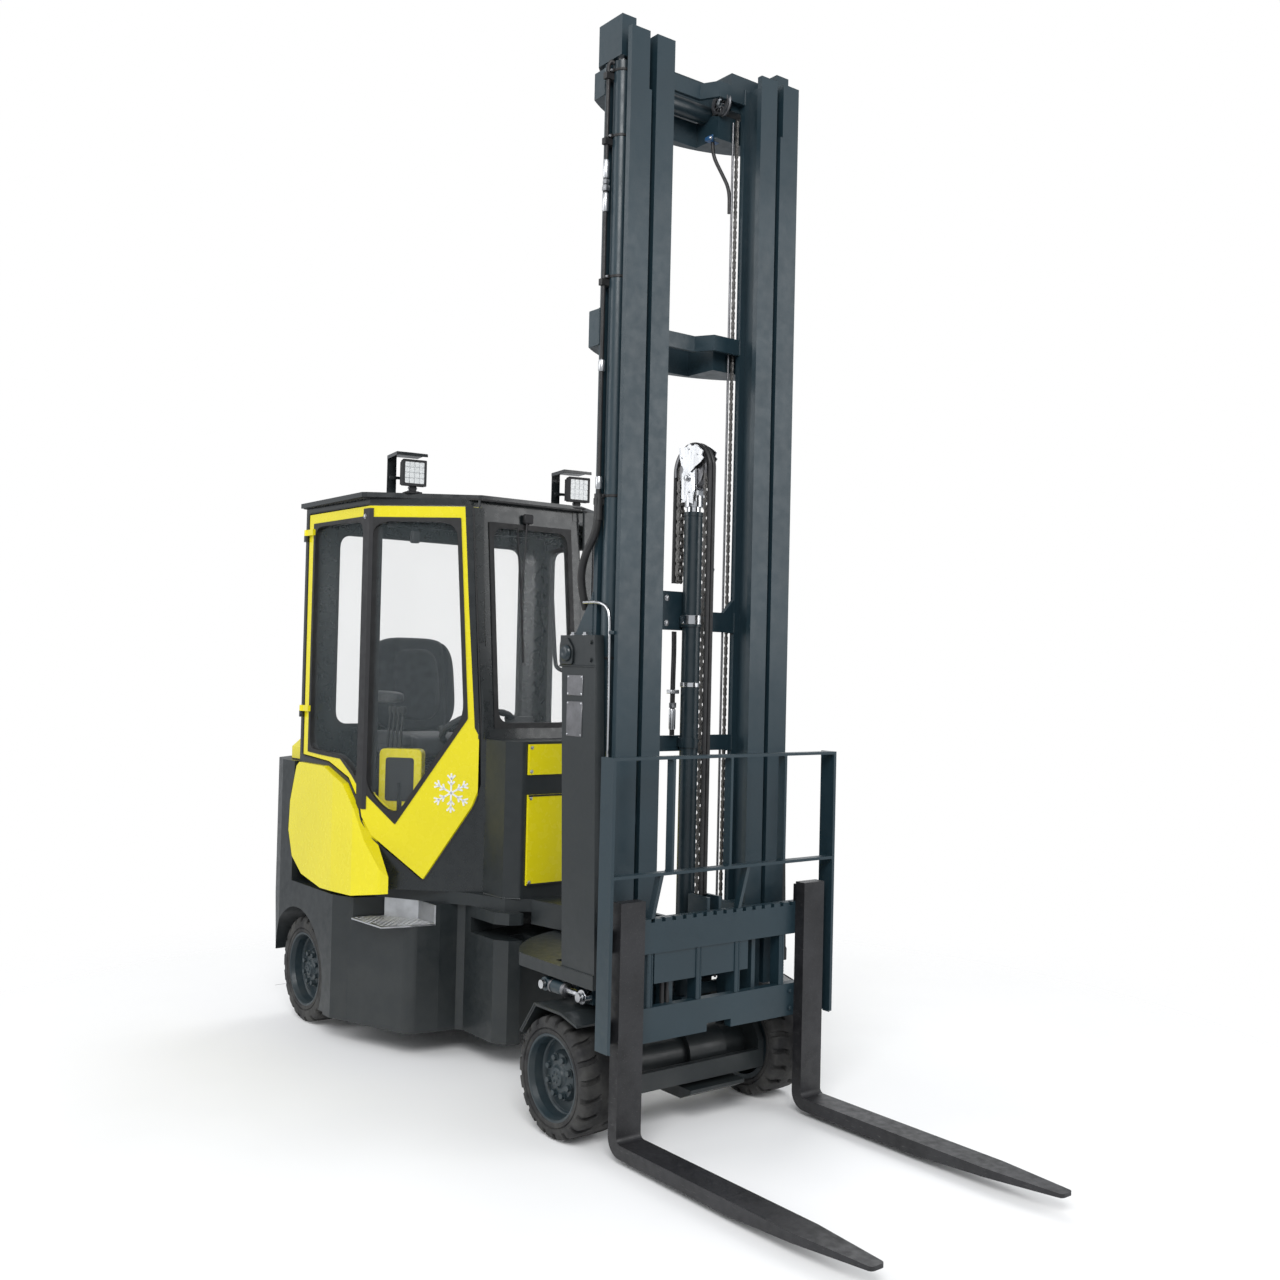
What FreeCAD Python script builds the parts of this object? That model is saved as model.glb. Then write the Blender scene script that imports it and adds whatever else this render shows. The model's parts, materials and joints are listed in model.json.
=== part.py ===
import FreeCAD, Part

import math
import os

# Articulated forklift. Millimetres, +Z up, forks towards -Y, the driver's right towards -X.
# All places are written from the front axle, at ground level, and moved to the origin on export.
V = FreeCAD.Vector

# Driving dimensions
WHEELBASE = 1830.0
KING_PIN_Y = 515.0
DRIVE_AXLE_Y = 22.0
TILT_PIN_Y = 85.0
TILT_PIN_Z = 1635.0
TAIL_Y = 2250.0
RUN_GAP = 0.3
SWING_GAP = 8.0

# Wheels
FRONT_TYRE_R = 203.0
FRONT_TYRE_IN = 337.0
FRONT_TYRE_OUT = 515.0
FRONT_RIM_R = 147.0
REAR_TYRE_R = 228.5
REAR_TYRE_IN = 436.0
REAR_TYRE_OUT = 614.0
REAR_RIM_R = 160.0
LUG_DEPTH = 9.0
LUG_COUNT = 22
HUB_BORE_R = 46.0
HUB_PLUG_R = 24.0
STUB_GAP = 0.3

# Forks and carriage
FORK_LENGTH = 1070.0
FORK_WIDTH = 100.0
FORK_THICK = 45.0
FORK_OUTER_X = 462.0
FORK_FACE_Y = -282.5
FORK_TOP_Z = 64.0
FORK_SHANK_TOP_Z = 829.0
FORK_TIP_WIDTH = 52.0
FORK_TIP_THICK = 12.0
BAR_FACE_Y = FORK_FACE_Y + FORK_THICK
BAR_THICK = 32.0
BAR_HALF = 415.0
BAR_HEIGHT = 114.5
CARRIAGE_SIZE = 407.0
LOWER_BAR_Z = 350.0
NOTCH_COUNT = 18
COVER_Z = 540.0
ARM_OUT_X = 197.0
ARM_THICK = 17.0
REST_HALF = 509.0
REST_TOP_Z = 1299.0
REST_MID_Z = 917.5
REST_BAR = 34.0
REST_FACE_Y = -286.0
REST_DEPTH = 67.0

# Mast stages: half widths of the outside of the web and of the flange's free edge
MAST_TOP_Z = 3766.0
RAIL_FRONT_Y = -138.0
RAIL_DEPTH = 150.0
RAIL_REAR_Y = RAIL_FRONT_Y + RAIL_DEPTH
WEB = 19.0
FLANGE = 22.0
OUTER_SIDE_X = 392.0
OUTER_EDGE_X = 303.0
OUTER_WEB_IN = 314.0
OUTER_WEB_OUT = 326.0
INNER_WEB_X = 283.0
INNER_EDGE_X = 204.0
INNER_REAR_EDGE_X = 238.0
OUTER_FOOT_Z = 450.0
INNER_FOOT_Z = 400.0
ROLLER_GAP = 0.3
PAD_Y = RAIL_REAR_Y + 6.0
PAD_THICK = 16.0
OUTER_TIE_Y = PAD_Y + PAD_THICK + 6.0

# Ties of the inner stage: flat bars, and bars whose middle is bowed to the rear
TIE_FRONT_Y = -6.0
TIE_THICK = 16.0
TIE_HALF = 250.0
FLAT_TIES = [(1294.0, 1350.0), (1728.0, 1800.0)]
BOWED_TIES = [(2765.0, 2822.0), (3708.0, MAST_TOP_Z)]
BOW_START_X = 115.0
BOW_FLAT_X = 77.0
BOW_DEPTH = 66.0
ANCHOR_TOP_Z = 1867.0

# Side lift cylinders
SIDE_CYL_X = 360.0
SIDE_CYL_Y = -47.0
SIDE_CYL_R = 32.0
SIDE_ROD_R = 20.0
SIDE_CYL_TOP_Z = 3670.0
SIDE_SEAT = 50.0
CAP_Z = 3684.0
CAP_TOP_Z = 3826.0
CAP_REAR_Y = 232.0
EAR_IN_X = OUTER_WEB_OUT + 6.0
EAR_FRONT_Y = -80.0
CAP_WINDOW_HALF = 150.0
OUTER_CAPS = [(2704.0, 2830.0, 225.0), (3575.0, 3668.0, 205.0)]

# Free lift cylinder
RAM_Y = -48.0
RAM_R = 33.0
RAM_ROD_R = 25.0
RAM_RING_R = 38.0
RAM_TOP_Z = 2150.0
SHEAVE_R = 66.0
SHEAVE_HALF = 15.0
CHEEK_IN = 17.0
CHEEK_OUT = 27.0
SHEAVE_Z = 2300.0
CHAIN_THICK = 14.0
CHAIN_WIDTH = 30.0
CHAIN_FOOT_Z = 790.0
RAM_ARM_Z = (1310.0, 1740.0)

# Tilt cylinders, low beside the mast
TILT_CYL_X = 424.0
TILT_CYL_Z = 477.0
TILT_ROD_Y = -40.0
TILT_BARREL_Y = 184.0
TILT_GLAND_Y = 62.0
TILT_BARREL_R = 23.0
TILT_ROD_R = 12.0
TILT_EYE_R = 24.0
TILT_EYE_BORE_R = 11.0
TILT_EYE_WIDTH = 28.0
TILT_LUG_IN = TILT_EYE_WIDTH / 2 + 3.0

# Front frame
PLATE_TOP_Z = 558.0
PLATE_THICK = 45.0
PLATE_HALF = 445.0
PLATE_FRONT_Y = -112.0
PLATE_CORNER_Y = 340.0
PLATE_REAR_Y = 612.0
POST_IN_X = 402.0
POST_FOOT_Y = 80.0
POST_FRONT_Y = -77.0
POST_REAR_Y = 134.0
POST_HEAD_Z = 1590.0
POST_TOP_Z = 1697.0
MAST_REAR_SWEEP_Y = 172.0
CROSS_REAR_Y = 215.0
GUARD_Z = 424.0
PIN_R = 38.0
PIN_BOSS_R = 97.0
TILT_PIN_R = 25.0

# Body
SKIRT_Z = 100.0
DECK_Z = 612.0
DECK_THICK = 50.0
HOUSING_TOP_Z = 1285.0
BODY_HALF = 651.0
FRAME_HALF = 430.0
BAY_HALF = 560.0
ARCH_FRONT_Y = 1540.0
ARCH_GAP = 46.0
NOSE_RECESS_HALF = 190.0
NOSE_SIDE_X = 300.0
CW_FRONT_Y = 1900.0
CW_TOP_Z = 1140.0
WING_LOW_Z = 622.0
HOOD_TOP_Z = 1235.0
STEP_Z = 530.0
SKIRT_HALF = [(0, 716), (-200, 716), (-244, 734), (-279, 790), (-279, 1012), (-300, 1040), (-376, 1046),
              (-500, 1072), (-614, 1383), (-BODY_HALF, 1470), (-BODY_HALF, ARCH_FRONT_Y)]
DECK_HALF = [(0, 700), (-110, 706), (-234, 786), (-288, 970), (-335, 1045), (-401, 1157), (-480, 1300),
             (-BAY_HALF, 1400), (-BAY_HALF, CW_FRONT_Y), (0, CW_FRONT_Y)]
NOSE_HALF = [(0, 746), (-186, 748), (-238, 800), (-244, 940), (0, 940)]

# Cab
WALL = 30.0
BAY_FRONT_Y = 1370.0
SEAT_BOX_Z = 1110.0
CAB_FRONT_Y = 940.0
CAB_REAR_Y = 1880.0
ROOF_Z = 2285.0
ROOF_THICK = 20.0
WINDSCREEN_TOP_Y = 1040.0
DOOR_GAP = 5.0
DOOR_REAR_Y = 1845.0
DOOR_FRONT_Y = 968.0
DOOR_TOP_Z = 2232.0
DOOR_REAR_PANE = [(1800, 1190), (1800, 2190), (1346, 2190), (1346, 1083), (1395, 1119), (1497, 1178), (1690, 1184)]
DOOR_FRONT_PANE = [(1290, 1046), (1290, 2185), (1036, 2185), (1002, 1366), (1203, 928)]
LEFT_REAR_WINDOW = [(1800, 1250), (1800, 2165), (1345, 2165), (1345, 1250)]
LEFT_FRONT_WINDOW = [(1265, 1250), (1265, 2165), (1030, 2165), (1030, 1250)]
KNUCKLE_R = 11.0
HINGE_X = 643.0
HINGE_Y = 1858.0
HINGE_Z = (1365.0, 2140.0)
SEAT_X = -170.0
SEAT_HALF = 215.0
STEER_RING_R = 150.0
STEER_TILT = -30.0
STEER_Z = 1318.0
LAMP_PLACES = [(-475.0, 1205.0), (215.0, 1060.0)]
LAMP_TURN = -25.0

# Tow bracket and mast hose
TOW_Z = 380.0
TOW_HALF = 45.0
TOW_BACK_Y = 2060.0
TOW_PIN_Y = 2135.0
TOW_BORE_R = 15.0
PIPE_X = 408.0
PIPE_Y = -28.0
PIPE_FOOT_Z = 2150.0
CLAMP_Z = (2143.0, 2896.0, 3382.0, 3609.0)
HOSE_POINTS = [(-408, -28, 2110), (-410, -20, 2050), (-412, 40, 1970), (-408, 66, 1905), (-392, 74, 1840),
               (-372, 80, 1790)]


def box(x0, x1, y0, y1, z0, z1):
    return Part.makeBox(x1 - x0, y1 - y0, z1 - z0, V(x0, y0, z0))


def rod_x(r, x0, x1, y, z):
    return Part.makeCylinder(r, x1 - x0, V(x0, y, z), V(1, 0, 0))


def rod_y(r, x, y0, y1, z):
    return Part.makeCylinder(r, y1 - y0, V(x, y0, z), V(0, 1, 0))


def rod_z(r, x, y, z0, z1):
    return Part.makeCylinder(r, z1 - z0, V(x, y, z0), V(0, 0, 1))


def prism_z(points, z0, z1):
    """A plan outline (x, y) raised from z0 to z1."""
    wire = Part.makePolygon([V(x, y, z0) for x, y in points + points[:1]])
    return Part.Face(wire).extrude(V(0, 0, z1 - z0))


def prism_x(points, x0, x1):
    """A side outline (y, z) carried from x0 to x1."""
    wire = Part.makePolygon([V(x0, y, z) for y, z in points + points[:1]])
    return Part.Face(wire).extrude(V(x1 - x0, 0, 0))


def prism_y(points, y0, y1):
    """A front outline (x, z) carried from y0 to y1."""
    wire = Part.makePolygon([V(x, y0, z) for x, z in points + points[:1]])
    return Part.Face(wire).extrude(V(0, y1 - y0, 0))


def fuse(shapes):
    result = shapes[0]
    if len(shapes) > 1:
        result = result.fuse(shapes[1:])
    return result.removeSplitter()


def mirror(shape):
    return shape.mirror(V(0, 0, 0), V(1, 0, 0))


def pair(shape):
    """The piece on the driver's right, and its mirror image on the left."""
    return [shape, mirror(shape)]


def both(points):
    """A closed plan outline from the points of its -X half, front to rear."""
    return points + [(-x, y) for x, y in reversed(points) if x != 0]


def round_edges(shape, radius, pick):
    edges = [e for e in shape.Edges if pick(e)]
    return shape.makeFillet(radius, edges)


def upright(edge):
    a = edge.Vertexes[0].Point
    b = edge.Vertexes[-1].Point
    return abs(a.x - b.x) < 0.01 and abs(a.y - b.y) < 0.01 and abs(a.z - b.z) > 1


# Mast

def rail(web_x, edge_x, rear_edge_x, foot_z):
    """A channel open towards the middle, on the driver's right."""
    inside = -web_x + WEB
    front = RAIL_FRONT_Y
    rear = RAIL_REAR_Y
    outline = [(-web_x, front), (-edge_x, front), (-edge_x, front + FLANGE), (inside, front + FLANGE),
               (inside, rear - FLANGE), (-rear_edge_x, rear - FLANGE), (-rear_edge_x, rear), (-web_x, rear)]
    return prism_z(outline, foot_z, MAST_TOP_Z)


def roller(web_x, outer_web_x, z):
    """A roller on a stage's web that runs between the flanges of the rail outside it."""
    radius = RAIL_DEPTH / 2 - FLANGE - ROLLER_GAP
    middle_y = RAIL_FRONT_Y + RAIL_DEPTH / 2
    return rod_x(radius, -outer_web_x + WEB + ROLLER_GAP, -web_x, middle_y, z)


def rear_cap(half, front_y, rear_y, z0, z1):
    """A tie plate behind the rails whose rear edge is a wide arc."""
    corner_y = front_y + 36.0
    lines = [Part.LineSegment(V(-half, corner_y, z0), V(-half, front_y, z0)),
             Part.LineSegment(V(-half, front_y, z0), V(half, front_y, z0)),
             Part.LineSegment(V(half, front_y, z0), V(half, corner_y, z0)),
             Part.Arc(V(half, corner_y, z0), V(0, rear_y, z0), V(-half, corner_y, z0))]
    wire = Part.Wire([line.toShape() for line in lines])
    return Part.Face(wire).extrude(V(0, 0, z1 - z0))


def outer_rail():
    """An I section: the inner stage's rollers run on its inside, a lift cylinder stands on its outside."""
    front = RAIL_FRONT_Y
    rear = RAIL_REAR_Y
    middle_y = front + RAIL_DEPTH / 2
    section = prism_z([(-OUTER_SIDE_X, front), (-OUTER_EDGE_X, front), (-OUTER_EDGE_X, rear), (-OUTER_SIDE_X, rear)],
                      OUTER_FOOT_Z, MAST_TOP_Z)
    reach = RAIL_DEPTH / 2 - FLANGE
    inside = box(-OUTER_WEB_IN, -OUTER_EDGE_X + 1, middle_y - reach, middle_y + reach, OUTER_FOOT_Z - 1,
                 MAST_TOP_Z + 1)
    outside = box(-OUTER_SIDE_X - 1, -OUTER_WEB_OUT, middle_y - reach, middle_y + reach, OUTER_FOOT_Z + SIDE_SEAT,
                  MAST_TOP_Z + 1)
    notch = box(-OUTER_WEB_IN, -OUTER_EDGE_X + 1, front - 1, front + FLANGE + 1, MAST_TOP_Z - 200, MAST_TOP_Z + 1)
    ear_way = box(-OUTER_SIDE_X - 1, -OUTER_WEB_OUT, rear - FLANGE - 1, rear + 1, CAP_Z - 6, MAST_TOP_Z + 1)
    return section.cut([inside, outside, notch, ear_way])


def outer_stage():
    pieces = pair(outer_rail())
    low_tie_top = OUTER_FOOT_Z + 130
    pieces.append(box(-OUTER_SIDE_X, OUTER_SIDE_X, OUTER_TIE_Y, OUTER_TIE_Y + 22, OUTER_FOOT_Z, low_tie_top))
    seats = [(OUTER_FOOT_Z, OUTER_FOOT_Z + 26)]
    for z0, z1, rear_y in OUTER_CAPS:
        cap = rear_cap(OUTER_SIDE_X, OUTER_TIE_Y, rear_y, z0, z1)
        window = box(-CAP_WINDOW_HALF, CAP_WINDOW_HALF, OUTER_TIE_Y - 1, rear_y - 40, z0 - 1, z1 + 1)
        pieces.append(cap.cut(window))
        seats.append((z0, z1))
    for z0, z1 in seats:
        pieces += pair(box(-OUTER_SIDE_X, -OUTER_EDGE_X, RAIL_REAR_Y - 1, OUTER_TIE_Y + 1, z0, z1))
    # gusset behind each rail that carries the tilt pin
    gusset = prism_x([(RAIL_REAR_Y, TILT_PIN_Z - 170), (TILT_PIN_Y + 42, TILT_PIN_Z - 45),
                      (TILT_PIN_Y + 42, TILT_PIN_Z + 50), (RAIL_REAR_Y, TILT_PIN_Z + 210)],
                     -OUTER_SIDE_X, -OUTER_SIDE_X + 9)
    pin = rod_x(TILT_PIN_R, -PLATE_HALF - 6, -OUTER_SIDE_X + 9, TILT_PIN_Y, TILT_PIN_Z)
    pieces += pair(gusset) + pair(pin)
    # lug and pin for the tilt rod's eye
    lug = box(-TILT_CYL_X + TILT_LUG_IN, -OUTER_SIDE_X + 1, TILT_ROD_Y - 24, TILT_ROD_Y + 24,
              OUTER_FOOT_Z, TILT_CYL_Z + 22)
    eye_pin = rod_x(TILT_EYE_BORE_R, -TILT_CYL_X - 18, -TILT_CYL_X + TILT_LUG_IN + 2, TILT_ROD_Y, TILT_CYL_Z)
    pieces += pair(lug) + pair(eye_pin)
    return fuse(pieces)


def bowed_tie(z0, z1):
    """A tie bar whose middle stands back to leave room for the free lift cylinder."""
    front = [(-TIE_HALF, TIE_FRONT_Y), (-BOW_START_X, TIE_FRONT_Y), (-BOW_FLAT_X, TIE_FRONT_Y + BOW_DEPTH),
             (BOW_FLAT_X, TIE_FRONT_Y + BOW_DEPTH), (BOW_START_X, TIE_FRONT_Y), (TIE_HALF, TIE_FRONT_Y)]
    slant = TIE_THICK * 0.55
    rear = [(TIE_HALF, TIE_FRONT_Y + TIE_THICK), (BOW_START_X + slant, TIE_FRONT_Y + TIE_THICK),
            (BOW_FLAT_X + slant, TIE_FRONT_Y + BOW_DEPTH + TIE_THICK),
            (-BOW_FLAT_X - slant, TIE_FRONT_Y + BOW_DEPTH + TIE_THICK),
            (-BOW_START_X - slant, TIE_FRONT_Y + TIE_THICK), (-TIE_HALF, TIE_FRONT_Y + TIE_THICK)]
    return prism_z(front + rear, z0, z1)


def inner_stage():
    pieces = pair(rail(INNER_WEB_X, INNER_EDGE_X, INNER_REAR_EDGE_X, INNER_FOOT_Z))
    for z in (OUTER_FOOT_Z + 80, OUTER_FOOT_Z + 620):
        pieces += pair(roller(INNER_WEB_X, OUTER_WEB_IN + WEB, z))
    tie_rear = TIE_FRONT_Y + TIE_THICK
    for z0, z1 in FLAT_TIES:
        pieces.append(box(-TIE_HALF, TIE_HALF, TIE_FRONT_Y, tie_rear, z0, z1))
    pieces += [bowed_tie(z0, z1) for z0, z1 in BOWED_TIES]
    # plate and block that hold the free lift cylinder and its chain's fixed end
    plate_z = FLAT_TIES[1][1]
    pieces.append(box(-100, 100, TIE_FRONT_Y, tie_rear, plate_z - 10, ANCHOR_TOP_Z))
    pieces.append(box(-24, 24, tie_rear - 1, RAM_Y + SHEAVE_R + CHAIN_THICK + 2, plate_z, ANCHOR_TOP_Z))
    corner = prism_y([(-TIE_HALF, plate_z), (-190, plate_z), (-INNER_REAR_EDGE_X, plate_z + 50), (-TIE_HALF, plate_z + 50)],
                     TIE_FRONT_Y, tie_rear)
    pieces += pair(corner)
    # foot: a cross plate behind the rails and the seat of the cylinder
    foot_top = INNER_FOOT_Z + 40
    pieces.append(box(-INNER_WEB_X, INNER_WEB_X, PAD_Y, PAD_Y + PAD_THICK, INNER_FOOT_Z, foot_top))
    pieces += pair(box(-INNER_WEB_X, -INNER_REAR_EDGE_X, RAIL_REAR_Y, PAD_Y, INNER_FOOT_Z, foot_top))
    pieces.append(box(-RAM_R, RAM_R, RAM_Y - RAM_R, PAD_Y, INNER_FOOT_Z, INNER_FOOT_Z + 30))
    cap = rear_cap(OUTER_SIDE_X, PAD_Y, CAP_REAR_Y, CAP_Z, CAP_TOP_Z)
    opening = box(-INNER_EDGE_X + 10, INNER_EDGE_X - 10, PAD_Y - 1, 150.0, CAP_Z - 1, CAP_TOP_Z + 1)
    pieces.append(cap.cut(opening))
    pieces += pair(box(-INNER_WEB_X, -INNER_REAR_EDGE_X, RAIL_REAR_Y, PAD_Y, CAP_Z, MAST_TOP_Z))
    # ears over the lift cylinders' rods
    pieces += pair(box(-OUTER_SIDE_X, -EAR_IN_X, EAR_FRONT_Y, PAD_Y + 1, CAP_Z, CAP_TOP_Z))
    return fuse(pieces)


def side_rods():
    low = OUTER_FOOT_Z + SIDE_SEAT + 34
    return [rod_z(SIDE_ROD_R, side * SIDE_CYL_X, SIDE_CYL_Y, low, CAP_Z) for side in (-1, 1)]


def side_barrels():
    barrels = []
    for side in (-1, 1):
        seat_z = OUTER_FOOT_Z + SIDE_SEAT
        barrel = rod_z(SIDE_CYL_R, side * SIDE_CYL_X, SIDE_CYL_Y, seat_z, SIDE_CYL_TOP_Z)
        bore = rod_z(SIDE_ROD_R + 5, side * SIDE_CYL_X, SIDE_CYL_Y, seat_z + 24, SIDE_CYL_TOP_Z - 60)
        gland = rod_z(SIDE_ROD_R + RUN_GAP, side * SIDE_CYL_X, SIDE_CYL_Y, SIDE_CYL_TOP_Z - 61,
                      SIDE_CYL_TOP_Z + 1)
        barrels.append(barrel.cut([bore, gland]))
    return barrels


def ram_barrel():
    barrel = rod_z(RAM_R, 0, RAM_Y, INNER_FOOT_Z + 30, RAM_TOP_Z)
    bore = rod_z(RAM_ROD_R + 3, 0, RAM_Y, INNER_FOOT_Z + 60, RAM_TOP_Z - 60)
    gland = rod_z(RAM_ROD_R + RUN_GAP, 0, RAM_Y, RAM_TOP_Z - 61, RAM_TOP_Z + 1)
    tube = barrel.cut([bore, gland])
    arms = []
    for z in RAM_ARM_Z:
        ring = rod_z(RAM_RING_R, 0, RAM_Y, z, z + 34)
        arm = box(-22, 22, RAM_Y + RAM_R - 4, TIE_FRONT_Y, z, z + 34)
        arms.append(ring.fuse(arm).cut(rod_z(RAM_R - 3, 0, RAM_Y, z - 1, z + 35)))
    return fuse([tube] + arms)


def ram_head():
    rod = rod_z(RAM_ROD_R, 0, RAM_Y, INNER_FOOT_Z + 70, SHEAVE_Z - 110)
    cheek = []
    for ends in ((-CHEEK_OUT, -CHEEK_IN), (CHEEK_IN, CHEEK_OUT)):
        plate = fuse([rod_x(34, *ends, RAM_Y, SHEAVE_Z),
                      box(*ends, RAM_Y - 34, RAM_Y + 34, SHEAVE_Z - 112, SHEAVE_Z)])
        cheek.append(plate)
    base = rod_z(RAM_R, 0, RAM_Y, SHEAVE_Z - 130, SHEAVE_Z - 90)
    return fuse([rod, base] + cheek)


def ram_chain():
    """The chain over the sheave: half a ring, the strand to the carriage and the strand to its anchor."""
    outer_r = SHEAVE_R + CHAIN_THICK
    x0 = -CHAIN_WIDTH / 2
    x1 = CHAIN_WIDTH / 2
    ring = rod_x(outer_r, x0, x1, RAM_Y, SHEAVE_Z).cut(rod_x(SHEAVE_R, x0, x1, RAM_Y, SHEAVE_Z))
    ring = ring.cut(box(x0 - 1, x1 + 1, RAM_Y - outer_r - 1, RAM_Y + outer_r + 1, 0, SHEAVE_Z))
    front = box(x0, x1, RAM_Y - outer_r, RAM_Y - outer_r + CHAIN_THICK, CHAIN_FOOT_Z, SHEAVE_Z)
    rear = box(x0, x1, RAM_Y + outer_r - CHAIN_THICK, RAM_Y + outer_r, ANCHOR_TOP_Z + 5, SHEAVE_Z)
    return fuse([ring, front, rear])


def ram_sheave():
    wheel = rod_x(SHEAVE_R, -SHEAVE_HALF, SHEAVE_HALF, RAM_Y, SHEAVE_Z)
    axle = rod_x(12, -CHEEK_IN, CHEEK_IN, RAM_Y, SHEAVE_Z)
    return fuse([wheel, axle])


def tilt_barrel(side):
    x = side * TILT_CYL_X
    half = TILT_EYE_WIDTH / 2
    eye = rod_x(TILT_EYE_R, x - half, x + half, TILT_BARREL_Y, TILT_CYL_Z)
    tube_end = TILT_BARREL_Y - 30
    tube = rod_y(TILT_BARREL_R, x, TILT_GLAND_Y, tube_end, TILT_CYL_Z)
    neck = box(x - half, x + half, tube_end, TILT_BARREL_Y, TILT_CYL_Z - 18, TILT_CYL_Z + 18)
    bore = rod_y(TILT_ROD_R + RUN_GAP, x, TILT_GLAND_Y - 1, tube_end - 4, TILT_CYL_Z)
    pin_hole = rod_x(TILT_EYE_BORE_R + RUN_GAP, x - 60, x + 60, TILT_BARREL_Y, TILT_CYL_Z)
    return fuse([eye, tube, neck]).cut([bore, pin_hole])


def tilt_rod(side):
    x = side * TILT_CYL_X
    half = TILT_EYE_WIDTH / 2
    eye = rod_x(TILT_EYE_R, x - half, x + half, TILT_ROD_Y, TILT_CYL_Z)
    shaft = rod_y(TILT_ROD_R, x, TILT_ROD_Y, TILT_BARREL_Y - TILT_EYE_R - 52, TILT_CYL_Z)
    pin_hole = rod_x(TILT_EYE_BORE_R + RUN_GAP, x - 60, x + 60, TILT_ROD_Y, TILT_CYL_Z)
    return fuse([eye, shaft]).cut(pin_hole)


# Front frame

def pivot_plate():
    """The swing plate: straight sides, a wide arc behind, a window where the mast tilts."""
    z0 = PLATE_TOP_Z - PLATE_THICK
    lines = [Part.LineSegment(V(-PLATE_HALF, PLATE_CORNER_Y, z0), V(-PLATE_HALF, PLATE_FRONT_Y, z0)),
             Part.LineSegment(V(-PLATE_HALF, PLATE_FRONT_Y, z0), V(PLATE_HALF, PLATE_FRONT_Y, z0)),
             Part.LineSegment(V(PLATE_HALF, PLATE_FRONT_Y, z0), V(PLATE_HALF, PLATE_CORNER_Y, z0)),
             Part.Arc(V(PLATE_HALF, PLATE_CORNER_Y, z0), V(0, PLATE_REAR_Y, z0),
                      V(-PLATE_HALF, PLATE_CORNER_Y, z0))]
    plate = Part.Face(Part.Wire([line.toShape() for line in lines])).extrude(V(0, 0, PLATE_THICK))
    mast_way = box(-POST_IN_X, POST_IN_X, PLATE_FRONT_Y - 1, MAST_REAR_SWEEP_Y, z0 - 1, PLATE_TOP_Z + 1)
    pin_hole = rod_z(PIN_R + RUN_GAP, 0, KING_PIN_Y, z0 - 1, PLATE_TOP_Z + 1)
    return plate.cut([mast_way, pin_hole])


def front_frame():
    pieces = [pivot_plate()]
    post = prism_x([(PLATE_FRONT_Y, PLATE_TOP_Z), (POST_FOOT_Y, PLATE_TOP_Z), (POST_REAR_Y - 12, POST_HEAD_Z),
                    (POST_REAR_Y, POST_HEAD_Z), (POST_REAR_Y, POST_TOP_Z), (POST_FRONT_Y + 8, POST_TOP_Z),
                    (POST_FRONT_Y, POST_HEAD_Z)],
                   -PLATE_HALF + 5, -POST_IN_X)
    pin_hole = rod_x(TILT_PIN_R + RUN_GAP, -PLATE_HALF - 20, -POST_IN_X + 10, TILT_PIN_Y, TILT_PIN_Z)
    pieces += pair(post.cut(pin_hole))
    under = PLATE_TOP_Z - PLATE_THICK
    cross_half = FRONT_TYRE_IN - 12
    pieces.append(box(-cross_half, cross_half, MAST_REAR_SWEEP_Y, CROSS_REAR_Y, 150, under))
    side = prism_x([(MAST_REAR_SWEEP_Y, 330), (MAST_REAR_SWEEP_Y, 120), (-70, 120), (-124, 145), (-124, 240),
                    (-70, 328)], -cross_half, -cross_half + 25)
    pieces += pair(side)
    pieces.append(box(-cross_half, cross_half, -125, -99, 142, 206))
    # bracket that carries the tilt barrel's pin
    lug = box(-TILT_CYL_X + TILT_LUG_IN, -TILT_CYL_X + 41, TILT_BARREL_Y - 26, TILT_BARREL_Y + 26, TILT_CYL_Z - 26, under)
    pin = rod_x(TILT_EYE_BORE_R, -TILT_CYL_X - 18, -TILT_CYL_X + TILT_LUG_IN + 2, TILT_BARREL_Y, TILT_CYL_Z)
    pieces += pair(lug) + pair(pin)
    guard = prism_x([(-125, GUARD_Z - 22), (-30, GUARD_Z), (120, GUARD_Z), (206, GUARD_Z - 110),
                     (214, GUARD_Z - 106), (126, GUARD_Z + 8), (-30, GUARD_Z + 8), (-128, GUARD_Z - 14)], -FRONT_TYRE_OUT, -cross_half)
    web = box(-cross_half, -cross_half + 25, MAST_REAR_SWEEP_Y, CROSS_REAR_Y, 150, GUARD_Z + 8)
    pieces += pair(guard) + pair(web)
    axle_hole = rod_x(HUB_BORE_R - STUB_GAP, -FRONT_TYRE_OUT, FRONT_TYRE_OUT, DRIVE_AXLE_Y,
                      FRONT_TYRE_R)
    return fuse(pieces).cut(axle_hole)


def drive_axle():
    tube_half = FRONT_TYRE_IN - 37
    stub_half = FRONT_TYRE_OUT - 62
    tube = rod_x(74, -tube_half, tube_half, DRIVE_AXLE_Y, FRONT_TYRE_R)
    gear = rod_x(96, 20, 190, DRIVE_AXLE_Y, FRONT_TYRE_R)
    stub = rod_x(HUB_BORE_R - STUB_GAP, -stub_half, stub_half, DRIVE_AXLE_Y, FRONT_TYRE_R)
    skid = prism_x([(-150, 110), (-95, 82), (80, 82), (120, 110), (120, 122), (-150, 122)], -40, 210)
    return fuse([tube, gear, stub, skid])


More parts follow.
